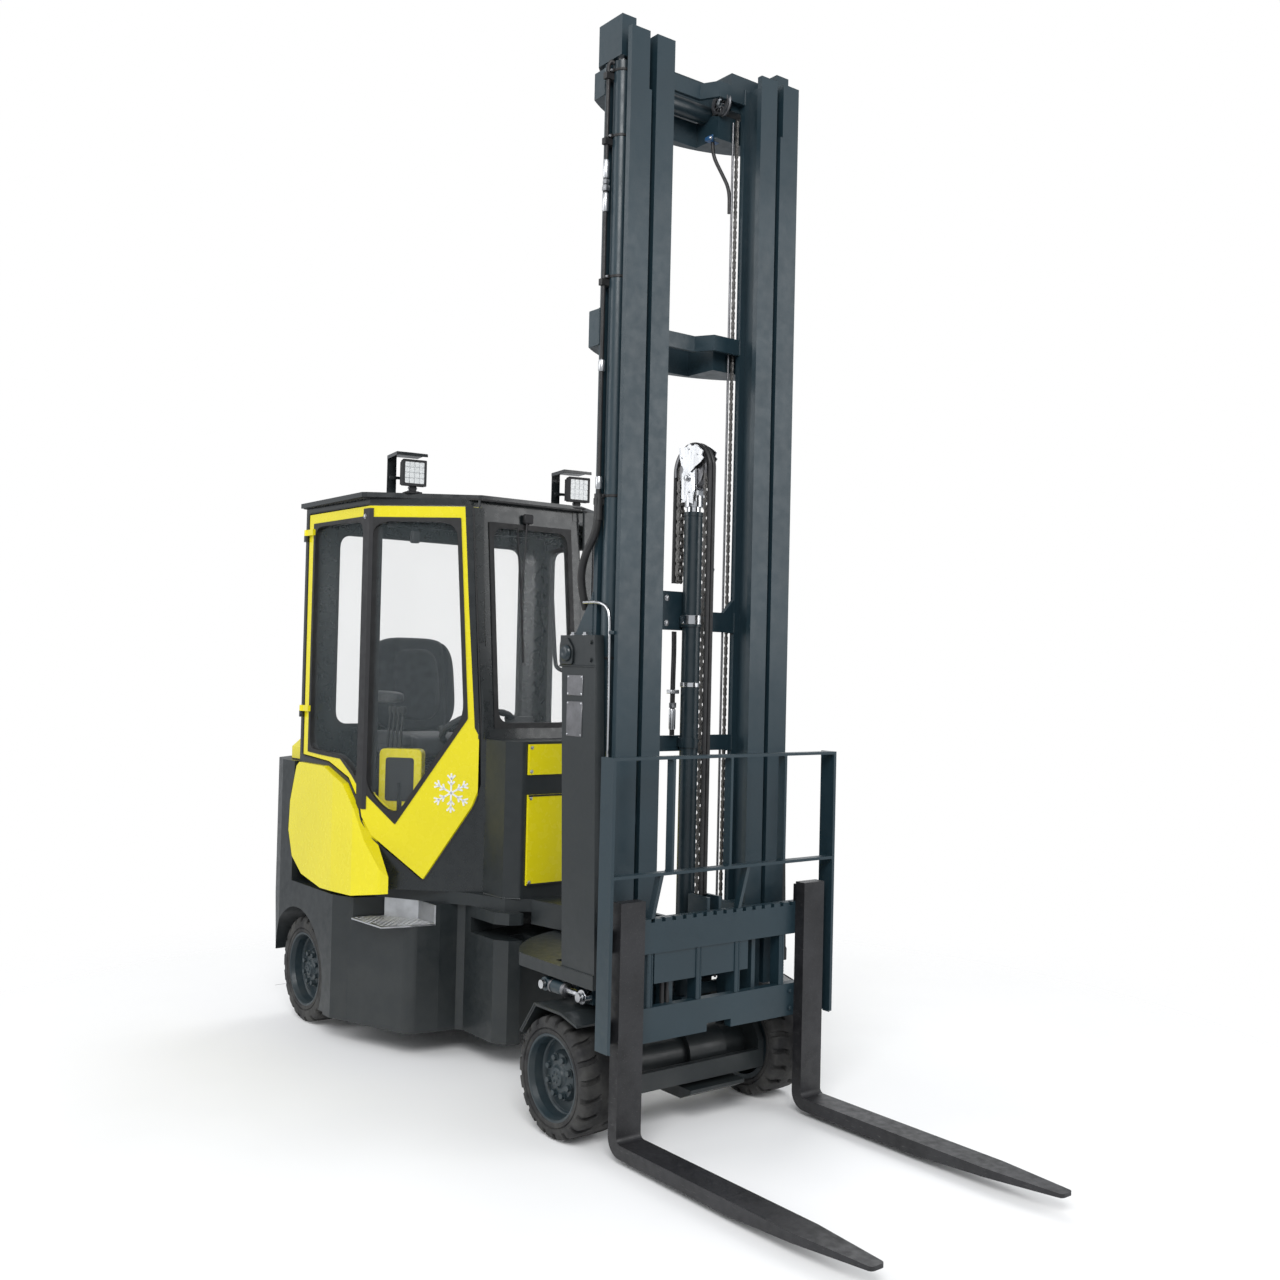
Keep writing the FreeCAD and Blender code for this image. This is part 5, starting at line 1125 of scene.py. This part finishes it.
        # bright rod that bends down beside the outer rail
        bent = [(-397, 60, 1812), (-397, -22, 1812), (-397, -78, 1796), (-396, -94, 1760),
                (-395, -97, 1480), (-395, -97, 1240)]
        make("bent_rod", tube(bent, 5.5, 36.0), "chrome", "mast_outer")
        holders = [block((-401, -122, z0), (-388, -88, z0 + 12), 1.5) for z0 in (1700.0, 1262.0)]
        make("rod_holders", joined(holders), "slate", "mast_outer")
        return {"FINISHED"}


# Carriage and front frame

class TRUCK_OT_carriage(bpy.types.Operator):
    """The carriage's bolts, welds, hoses and chain anchors"""
    bl_idname = "truck.carriage"
    bl_label = "Carriage trim"

    def execute(self, context):
        heads = [(x, -239, z) for x in (-340, 340) for z in (377, 438)]
        make("carriage_bolts", bolts(heads, 1, -1, 7.0, 6.0), "slate", "carriage")
        beads = [weld([(x, -233, 466), (x, -233, 640)]) for x in (-309, -291, -97, -79, 79, 97, 291, 309)]
        beads += [weld([(x, -285, z), (x, -254, z)]) for z in (353.0, 907.0, 1289.0) for x in (-497, 497)]
        beads += [weld([(x, -285, z), (x, -254, z)]) for x in (-261, -6, 249) for z in (1288, 919)]
        make("carriage_welds", joined(beads), "slate", "carriage")
        hoses = [tube([(x, -222, 742), (x, -218, 690), (x + 4, -200, 640), (x + 12, -196, 560),
                       (x + 10, -200, 480), (x + 2, -212, 430)], 8.0, 40.0) for x in (-230.0, -208.0)]
        make("carriage_hoses", joined(hoses), "hose", "carriage")
        anchors = []
        for x in (-25.0, 25.0):
            anchors.append(rod(692, 722, 5, (x, -142, 0), 2, 16))
            anchors.append(rod(690, 700, 8, (x, -142, 0), 2, 6))
        make("chain_anchors", joined(anchors), "zinc", "carriage")
        return {"FINISHED"}


TILT_AXIS_Z = 477


class TRUCK_OT_front_frame(bpy.types.Operator):
    """Caps and shields at the mast's pins, bolts, blank plates, welds, tilt pins, glands and pivot hoses"""
    bl_idname = "truck.front_frame"
    bl_label = "Front frame trim"

    def execute(self, context):
        cap = [(-451, 0), (-458, 0), (-462, 8), (-462, 20), (-457, 27), (-451, 29)]
        caps = both_sides(turned(cap, (0, 85, 1635), 0, 40))
        make("tilt_pin_caps", caps, "gunmetal", "mast_outer")
        shield = rounded([(50, 1596), (50, 1654), (85, 1692), (128, 1676), (128, 1596)], 14, True)
        shields = both_sides(plate(shield, 0, -448, -440, 1.5))
        make("pin_shields", shields, "charcoal", "front_frame")
        post_bolts = bolts([(-421, 82, 1697), (-421, 10, 1697)], 2, 1, 10.0, 11.0)
        make("post_bolts", both_sides(post_bolts), "zinc", "front_frame")
        side_bolts = bolts([(-440, -50, 1612), (-440, -50, 1672)], 0, -1, 7.0, 7.0)
        make("post_side_bolts", both_sides(side_bolts), "charcoal", "front_frame")
        blanks = [block((-442.5, -8, low), (-439.5, 84, high), 1.0)
                  for low, high in ((1490, 1560), (1350, 1470))]
        make("blank_plates", both_sides(joined(blanks)), "sheave", "front_frame")
        rivet_places = [(-442.5, y, z) for y in (-2, 78) for z in (1356, 1464, 1496, 1554)]
        rivets = both_sides(bolts(rivet_places, 0, -1, 2.5, 2.0))
        make("plate_rivets", rivets, "zinc", "front_frame")
        beads = [weld([(-441, -110, 559), (-441, 80, 559)]), weld([(-404, 81, 559), (-440, 81, 559)]),
                 weld([(-441, -77, 1591), (-441, 133, 1591)])]
        make("post_welds", both_sides(joined(beads)), "charcoal", "front_frame")

        # pins at both ends of the tilt cylinders, and the glands on their barrels
        for name, y, body in (("tilt_eye_pins", -40, "mast_outer"), ("barrel_pins", 184, "front_frame")):
            pins = both_sides(rod(-455, -442, 15, (0, y, TILT_AXIS_Z)))
            make(name, pins, "zinc", body)
        gland = joined([ring_band((-424, 0, TILT_AXIS_Z), 1, 60, 76, 12.5, 25.5, 32),
                        ring_band((-424, 0, TILT_AXIS_Z), 1, 140, 150, 20, 25.5, 32)])
        make("tilt_gland_right", gland, "sheave", "tilt_barrel_right")
        make("tilt_gland_left", mirrored(gland), "sheave", "tilt_barrel_left")

        # short hoses and fittings under the swing plate
        hoses = []
        fittings = []
        collar = [(462, 0), (462, 9), (466, 10.5), (490, 10.5), (490, 0)]
        for k, (x, y) in enumerate(((-370, 160), (-345, 178), (-318, 196))):
            low_z = 405 - 8 * k
            hoses.append(tube([(x, y, 508), (x, y, 470), (x + 6, y + 10, 430), (x + 40, y + 4, low_z),
                               (x + 90, y - 20, low_z - 5)], 8.5, 28.0))
            fittings.append(rod(490, 510, 12, (x, y, 0), 2, 6))
            fittings.append(turned(collar, (x, y, 0), 2, 20))
        make("pivot_hoses", joined(hoses), "hose", "front_frame")
        make("pivot_fittings", joined(fittings), "zinc", "front_frame")
        guard_edge = [(-516, -127, 410), (-516, -30, 432), (-516, 126, 432), (-516, 212, 320)]
        guard_edge = weld(guard_edge, radius=3.0)
        make("mudguard_edge", both_sides(guard_edge), "charcoal", "front_frame")
        return {"FINISHED"}


# Cab

class TRUCK_OT_cab(bpy.types.Operator):
    """Window seals, a dark strip painted as the shadow in the doorway's gap, wiper, grab handle, roof
    gutter, hooks, hood vents and seam, tail lamps
    """
    bl_idname = "truck.cab"
    bl_label = "Cab trim"

    def execute(self, context):
        width = sizes().seal_width * METRE
        seals = [band(LEFT_WINDOW, width, PANE_CORNER, left_wall_point, *SEAL_LEVELS),
                 band(LEFT_FRONT_WINDOW, width, PANE_CORNER, left_wall_point, *SEAL_LEVELS),
                 band(SCREEN, width + 4, 55.0, screen_point, -26.0, 4.0),
                 band(REAR_WINDOW, width, PANE_CORNER, rear_point, *SEAL_LEVELS)]
        make("window_seals", joined(seals), "seal", "rear_body")
        blade = sweep(screen_path(((-62, 1600, 10), (-66, 1900, 12), (-72, 2165, 10))), rectangle(9, 5))
        arm = sweep(screen_path(((-20, 2205, 8), (-40, 2080, 18), (-66, 1890, 16))), rectangle(12, 6))
        motor = block((-42, 1010, 2186), (4, 1030, 2226), 5.0)
        make("wiper", joined([blade, arm, motor]), "plastic", "rear_body")
        handle = tube([(150, 1000, 2090), (120, 1040, 2080), (116, 1046, 2040), (128, 1010, 1620),
                       (132, 1004, 1580), (160, 975, 1566)], 9.0, 30.0)
        make("grab_handle", handle, "plastic", "rear_body")
        rail = [(-636, 1300), (-262, 1016), (262, 1016), (636, 1300), (648, 1898), (-648, 1898)]
        rail = rounded(rail, 30, True, 6)
        gutter = sweep(np.column_stack([rail, np.full(len(rail), GUTTER_Z)]), rectangle(10, 7), True)
        make("roof_gutter", gutter, "seal", "rear_body")
        post = np.array([[-262, 966, 1285], [-262, 1000, 1700], [-262, 1012, 2262]], float)
        strips = both_sides(sweep(post, circle(5.0, 8)))
        make("post_strip", strips, "cab_black", "rear_body")
        # a thin dark strip in the seal finish round the door's edge: painted shadow in the gap between door
        # and cab, not a real seal
        doorway = rounded(inset(DOOR_EDGE, -7.0), 20.0, True, 4)
        gap_shadow_strip = sweep(wall_point(doorway, 0.5), rectangle(6, 5), True)
        make("doorway_gap_shadow", gap_shadow_strip, "seal", "rear_body")
        hooks = []
        for y, z in ((1278, 2150), (1210, 2084), (1061, 2144)):
            x = facet_x(y)
            hooks.append(block((x + 50, y - 14, z), (x + 86, y + 14, z + 50), 5.0))
        make("cab_hooks", joined(hooks), "plastic", "rear_body")

        # vents, seam and lamps on the hood and the tail
        vent_width = 260
        vent_height = 5
        vents = [block((x, 2184, z), (x + vent_width, 2188, z + vent_height), 1.5)
                 for z in range(1150, 1220, 11) for x in (-380, 120)]
        make("hood_vents", joined(vents), "plastic", "rear_body")
        seam = tube([(-607, 1903, 1143), (-607, 2040, 1143), (-541, 2141, 1143), (0, 2181, 1143),
                     (541, 2141, 1143), (607, 2040, 1143), (607, 1903, 1143)], 2.5, 20.0, 8)
        make("hood_seam", seam, "seal", "rear_body")
        places = [(-478, 2236, 1010), (478, 2236, 1010)]
        back = block((-40, -8, -60), (40, 10, 60), 6.0)
        make("tail_lamp_backs", copies(back, places), "plastic", "rear_body")
        for name, z, finish in (("tail_lenses", 24, "red"), ("turn_lenses", -30, "amber")):
            dome = turned([(10, 0), (18, 10), (16, 22), (10, 27)], (0, 0, z), 1, 32)
            make(name, copies(dome, places), finish, "rear_body")
        return {"FINISHED"}


CRYSTAL_PLACE = (1044, 1062)
CRYSTAL_RADIUS = 80
CRYSTAL_HALF_STROKE = 3.6


def crystal_strokes():
    """Six rays from the middle, each with two pairs of arms: the start and end of every stroke."""
    strokes = []
    for k in range(6):
        turn = (k + 0.5) * math.pi / 3
        direction = np.array([math.cos(turn), math.sin(turn)])
        across = np.array([-direction[1], direction[0]])
        strokes.append((np.zeros(2), direction * CRYSTAL_RADIUS))
        for reach, arm in ((33, 19), (56, 22)):
            for sign in (-1, 1):
                tip = direction * (reach + arm * 0.75) + across * sign * arm * 0.75
                strokes.append((direction * reach, tip))
    return strokes


class TRUCK_OT_door(bpy.types.Operator):
    """The door's seals, post trim, corner lining and strip, bolt and white snow crystal"""
    bl_idname = "truck.door"
    bl_label = "Door trim"

    def execute(self, context):
        width = sizes().seal_width * METRE
        rear_widths = np.array([1, 1, 0.1, 1, 1, 1, 1]) * width
        front_widths = np.array([0.1, 1, 0.7, 0.8, 0.8]) * width
        seals = [band(REAR_PANE, rear_widths, PANE_CORNER, wall_point, *SEAL_LEVELS),
                 band(FRONT_PANE, front_widths, PANE_CORNER, wall_point, *SEAL_LEVELS)]
        make("door_seals", joined(seals), "seal", "cab_door")

        # dark trim on the front stile and its end, and the lining of the corner post's end
        post = [(1004, 2234), (1024, 2234), (1008, 1860), (981, 1330), (972, 1306), (964, 1290),
                (967, 1310)]
        ends = np.array([[[outer, y, z], [-242, y, z], [-242, y_in, z], [outer, y_in, z]]
                         for outer, y, y_in, z in ((-263.0, 966.8, 968.6, 1310),
                                                   (-305.0, 1006.5, 1008.2, 2231))])
        trim = joined([wall_plate(post, -1.0, 1.8), layered(ends)])
        make("door_post_trim", trim, "cab_black", "cab_door")
        lining = block((-600.5, 1288.4, 1052), (-557, 1290.4, 2180), 0.4)
        make("door_corner_lining", lining, "seal", "cab_door")

        # strip over the corner between the panes, bent in plan: (y, lift) round its section
        rungs = 30
        levels = np.linspace(985, 2222, rungs)
        section = ((1288, 3.5), (1299.8, 4.5), (1308, 4.5), (1346, 3.5), (1346, -1.0), (1288, -1.0))
        strip = np.stack([wall_point(np.column_stack([np.full(rungs, y), levels]), lift)
                          for y, lift in section], 1)
        end = np.arange(len(section))[None]
        corner = (strip.reshape(-1, 3), [grid_faces(rungs, len(section), False, True), end[:, ::-1],
                                         end + (rungs - 1) * len(section)])
        make("door_corner_strip", corner, "plastic", "cab_door")
        door_bolt = bolts([wall_point([(1330, 2190)], 4)[0]], 0, -1, 8.0, 6.0)
        make("door_bolt", door_bolt, "zinc", "cab_door")

        bars = []
        for start, end in crystal_strokes():
            along = unit(end - start)
            across = np.array([-along[1], along[0]]) * CRYSTAL_HALF_STROKE
            quad = np.array([start - across, end - across, end + across, start + across])
            outline = np.column_stack([CRYSTAL_PLACE[0] + quad[:, 0] * FACET_NORMAL[0],
                                       CRYSTAL_PLACE[1] + quad[:, 1]])
            bars.append(wall_plate(outline, -0.5, 1.6))
        make("snow_crystal", joined(bars), "white", "cab_door")
        return {"FINISHED"}


def padded_piece(name, shape):
    """One stuffed piece of the seat."""
    piece = make(name, shape, "seat_cloth", "rear_body", 60.0)
    return piece


class TRUCK_OT_interior(bpy.types.Operator):
    """Padded seat with bellows and armrest, levers on their pod, lever box, wheel grip and dash box"""
    bl_idname = "truck.interior"
    bl_label = "Interior"

    def execute(self, context):
        base = pillow((SEAT_X, 1585, 1226), (205, 192, 50), 0.4, (-130, 130))
        cushion = padded_piece("seat_cushion", base)
        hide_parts("seat")
        upright = math.radians(90.0) - math.radians(8.0)
        back = turned_about(pillow((30, 0, 0), (214, 215, 44), 0.52, (-95, 155)), 0, upright)
        padded_piece("seat_back", moved(back, (SEAT_X, 1790, 1490)))
        panel = turned_about(pillow((30, 0, 22), (118, 165, 36), 0.55), 0, upright)
        padded_piece("seat_inset", moved(panel, (SEAT_X, 1784, 1486)))
        bolsters = [pillow((SEAT_X + offset, 1580, 1252), (30, 180, 34), 0.6) for offset in (-178, 178)]
        padded_piece("seat_bolsters", joined(bolsters))
        padded_piece("armrest", pillow((SEAT_X - 249, 1530, 1440), (29, 170, 23), 0.45))
        ribs = [block((SEAT_X - 170, 1435, z), (SEAT_X + 170, 1755, z + 9), 3.0)
                for z in (1112, 1124, 1136, 1148, 1160)]
        make("seat_bellows", joined(ribs), "seal", "rear_body")
        stalk = tube([(SEAT_X - 214, 1660, 1245), (SEAT_X - 240, 1660, 1260), (SEAT_X - 245, 1640, 1425)],
                     11.0, 20.0)
        back_rail = tube([(SEAT_X - 190, 1822, 1478), (SEAT_X + 190, 1822, 1478)], 5.0)
        make("armrest_stalk", joined([stalk, back_rail]), "chrome", "rear_body")

        # levers on their pod, and the yellow box with a dark face turned to the doorway
        levers = []
        knobs = []
        knob = [(-18, 0), (-16, 9), (0, 14), (16, 11), (22, 0)]
        for k in range(4):
            y = 1322 + 38 * k
            levers.append(tube([(-436, y, 1195), (-434, y - 6, 1290), (-430, y - 16, 1372)], 6.0, 14.0, 10))
            knobs.append(turned(knob, (-430, y - 17, 1386), 2, 24))
        make("levers", joined(levers), "plastic", "rear_body")
        make("lever_knobs", joined(knobs), "plastic", "rear_body")
        pod = block((-466, 1262, 1086), (-404, 1470, 1200), 8.0)
        make("lever_pod", pod, "plastic", "rear_body")
        facing = math.radians(-43.5)
        shell = plate(rounded([(-90, 952), (90, 952), (90, 1230), (-90, 1230)], 24, True), 1, 0, 60, 3.0)
        dark = plate(rounded([(-62, 1014), (58, 1014), (58, 1194), (-62, 1194)], 14, True), 1, -3, 2, 1.0)
        for name, shape, finish, slot in (("lever_box", shell, "yellow", "yellow_paint"),
                                          ("lever_box_face", dark, "plastic", "control_black")):
            placed = moved(turned_about(shape, 2, facing), (-462, 1262, 0))
            make(name, placed, finish, "rear_body")

        # steering wheel grip, knob and boss, over the moulded wheel, and the box beside it
        wheel_radius = 150
        angle = np.linspace(0, 2 * math.pi, 96, endpoint=False)
        ring = np.stack([wheel_radius * np.cos(angle), wheel_radius * np.sin(angle), 0 * angle], -1)
        grip = sweep(ring, circle(14.0, 14), True, 1 + 0.05 * np.sin(24 * angle))
        spinner = turned([(10, 0), (12, 10), (30, 20), (46, 18), (54, 0)], (-120, 70, 0), 2, 24)
        boss = turned([(14, 0), (24, 0), (24, 26), (20, 40), (8, 44)], ORIGIN, 2, 40)
        wheel = turned_about(joined([grip, spinner, boss]), 0, math.radians(-30.0))
        make("wheel_grip", moved(wheel, (SEAT_X, 1140, 1318)), "plastic", "rear_body")
        display = turned_about(block((-70, -8, -45), (70, 8, 45), 5.0), 0, math.radians(-20))
        display = moved(display, (SEAT_X + 150, 1040, 1330))
        make("dash_box", display, "plastic", "rear_body")
        return {"FINISHED"}


def on_roof(shape):
    """A lamp's shape turned and put at each lamp's place on the roof."""
    facing = turned_about(shape, 2, LAMP_TURN)
    return joined([moved(facing, (x, y, ROOF_Z + z)) for x, y, z in LAMP_PLACES])


def lamp_point(line, level):
    """An outline (x, z) on the lamp's front, at a level along Y."""
    return np.column_stack([line[:, 0], np.full(len(line), level), line[:, 1]])


class TRUCK_OT_lamps(bpy.types.Operator):
    """Two square work lamps: finned case, sixteen cells in a rim, a foot, and a visor on its own post"""
    bl_idname = "truck.lamps"
    bl_label = "Work lamps"

    def execute(self, context):
        case = [band([(-50, 30), (50, 30), (50, 136), (-50, 136)], 9.0, 8.0, lamp_point, -42.0, -34.0),
                block((-50, -37, 30), (50, -8, 136), 4.0), block((-14, -28, 6), (14, -4, 36), 3.0),
                block((-34, -44, -1), (34, 14, 6), 2.0), block((-30, -8, 60), (30, 34, 72), 2.0)]
        case += [block((-46 + 10 * k, -10, 36), (-42.5 + 10 * k, 12, 130), 1.0) for k in range(10)]
        cases = make("lamp_cases", on_roof(joined(case)), "plastic", "rear_body")
        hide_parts("work_lamps")
        post = [block((-84, 66, -8), (-44, 70, 160), 1.5), block((-84, -62, 158), (48, 72, 162), 1.5),
                block((-84, -62, 146), (-81, 72, 161), 1.2), block((-84, -63, 148), (48, -60, 161), 1.2),
                block((-84, 30, -8), (-44, 72, -2), 1.5), block((-84, 30, 60), (34, 34, 72), 1.5),
                block((-64, 30, 60), (-50, 70, 72), 1.5)]
        make("lamp_brackets", on_roof(joined(post)), "cab_black", "rear_body")
        backing = block((-42, -39.5, 38), (42, -36.5, 128), 0.8)
        make("lamp_backings", on_roof(backing), "zinc", "rear_body")
        cell = block((-9.6, -1.6, -10.4), (9.6, 1.4, 10.4), 1.2)
        grid = [(-31.2 + 20.8 * i, -40.5, 49.2 + 22.5 * j) for i in range(4) for j in range(4)]
        make("lamp_cells", on_roof(copies(cell, grid)), "lamp_cell", "rear_body")
        heads = joined([bolts([(-22, -20, 6), (22, -20, 6), (-64, 50, -2)], 2, 1, 6.0, 5.0),
                        bolts([(-14, -16, 22)], 0, -1, 5.0, 5.0), bolts([(14, -16, 22)], 0, 1, 5.0, 5.0)])
        make("lamp_bolts", on_roof(heads), "zinc", "rear_body")
        cable = tube([(10, 8, 90), (10, 26, 84), (12, 32, 40), (14, 30, 8), (30, 56, 3)], 4.0, 14.0, 8)
        make("lamp_cables", on_roof(cable), "hose", "rear_body")
        return {"FINISHED"}


# Body

STEP_OUTLINE = ((-612, 1098), (-500, 1066), (-394, 1050), (-394, 1184), (-478, 1322), (-600, 1345),
                (-628, 1335))
STUD_PITCH = 15.0
STEP_TOP_Z = 535.8
PANEL_FACE_Y = 734


def inside(points, outline):
    """Whether each point is inside an outline: an odd number of edges lies to its right."""
    x, y = points.T
    found = np.zeros(len(points), bool)
    outline = np.array(outline, float)
    for (x0, y0), (x1, y1) in zip(outline, np.roll(outline, -1, 0)):
        crosses = (y0 > y) != (y1 > y)
        found ^= crosses & (x < x0 + (y - y0) * (x1 - x0) / (y1 - y0 + 1e-9))
    return found


class TRUCK_OT_body(bpy.types.Operator):
    """Chequered steps, nose welds, nose panel screws and edges, and the king pin's cap with its bolts"""
    bl_idname = "truck.body"
    bl_label = "Body trim"

    def execute(self, context):
        across = np.arange(-640, -380, STUD_PITCH)
        along = np.arange(1040, 1350, STUD_PITCH)
        u, v = np.meshgrid(across, along, indexing="ij")
        centres = np.column_stack([u.ravel(), v.ravel()])
        odd = ((np.round(u / STUD_PITCH) + np.round(v / STUD_PITCH)) % 2 == 0).ravel()
        inner = inside(centres, inset(STEP_OUTLINE, 9.0))
        foot = [[-7, 0, 0], [0, -2.6, 0], [7, 0, 0], [0, 2.6, 0]]
        top = [[-4, 0, 1.6], [0, -1.2, 1.6], [4, 0, 1.6], [0, 1.2, 1.6]]
        lozenge = (np.array(foot + top, float), [grid_faces(2, 4, False, True), np.array([[4, 5, 6, 7]])])
        studs = []
        for choose, turn in ((odd, 45.0), (~odd, -45.0)):
            places = centres[choose & inner]
            stud = turned_about(lozenge, 2, math.radians(turn))
            studs.append(copies(stud, np.column_stack([places, np.full(len(places), STEP_TOP_Z)])))
        make("step_studs", joined(studs), "tread_plate", "rear_body")

        seams = (((-186, 747), (-238, 799)), ((-238, 799), (-244, 930)))
        edges = [weld([(x0, y0, 663), (x1, y1, 663)]) for (x0, y0), (x1, y1) in seams]
        make("nose_welds", both_sides(joined(edges)), "charcoal", "rear_body")
        screws = [(x, PANEL_FACE_Y, z) for x in (-156, 156) for z in (728, 1061, 1167, 1262)]
        make("nose_screws", bolts(screws, 1, -1, 5.5, 4.0), "zinc", "rear_body")
        rims = [plate([(-168, z), (168, z), (168, z + 7), (-168, z + 7)], 1, 732, 735, 0.8)
                for z in (715, 1067)]
        make("nose_panel_edges", joined(rims), "seal", "rear_body")

        cap = [(684, 0), (684, 30), (690, 34), (700, 34), (704, 28), (704, 0)]
        cap = turned(cap, (0, KING_PIN_Y, 0), 2, 40)
        make("pin_cap", cap, "charcoal", "rear_body")
        heads = bolts(ring_places(6, 47, (0, KING_PIN_Y, 684.0), 2), 2, 1, 6.5, 7.0)
        make("pin_bolts", heads, "zinc", "rear_body")
        return {"FINISHED"}


OPERATORS = (TRUCK_OT_finishes, TRUCK_OT_stage, TRUCK_OT_tyres, TRUCK_OT_ram, TRUCK_OT_mast,
             TRUCK_OT_carriage, TRUCK_OT_front_frame, TRUCK_OT_cab, TRUCK_OT_door, TRUCK_OT_interior,
             TRUCK_OT_lamps, TRUCK_OT_body)


class TRUCK_PT_panel(bpy.types.Panel):
    """Lists the pieces of the truck and the sizes and colours that they use"""
    bl_idname = "TRUCK_PT_panel"
    bl_label = "Lift truck"
    bl_space_type = "VIEW_3D"
    bl_region_type = "UI"
    bl_category = "Truck"

    def draw(self, context):
        for group in (context.scene.truck_sizes, context.scene.truck_colours):
            for name in group.__annotations__:
                self.layout.prop(group, name)
        for operator in OPERATORS:
            self.layout.operator(operator.bl_idname)


CLASSES = (TruckSizes, TruckColours) + OPERATORS + (TRUCK_PT_panel,)


def register():
    for cls in CLASSES:
        bpy.utils.register_class(cls)
    bpy.types.Scene.truck_sizes = PointerProperty(type=TruckSizes)
    bpy.types.Scene.truck_colours = PointerProperty(type=TruckColours)


def unregister():
    del bpy.types.Scene.truck_colours
    del bpy.types.Scene.truck_sizes
    for cls in reversed(CLASSES):
        bpy.utils.unregister_class(cls)


def main():
    register()
    bpy.ops.truck.finishes()
    bpy.ops.truck.stage()
    bpy.ops.truck.tyres()
    bpy.ops.truck.ram()
    bpy.ops.truck.mast()
    bpy.ops.truck.carriage()
    bpy.ops.truck.front_frame()
    bpy.ops.truck.cab()
    bpy.ops.truck.door()
    bpy.ops.truck.interior()
    bpy.ops.truck.lamps()
    bpy.ops.truck.body()


if __name__ == "__main__":
    main()
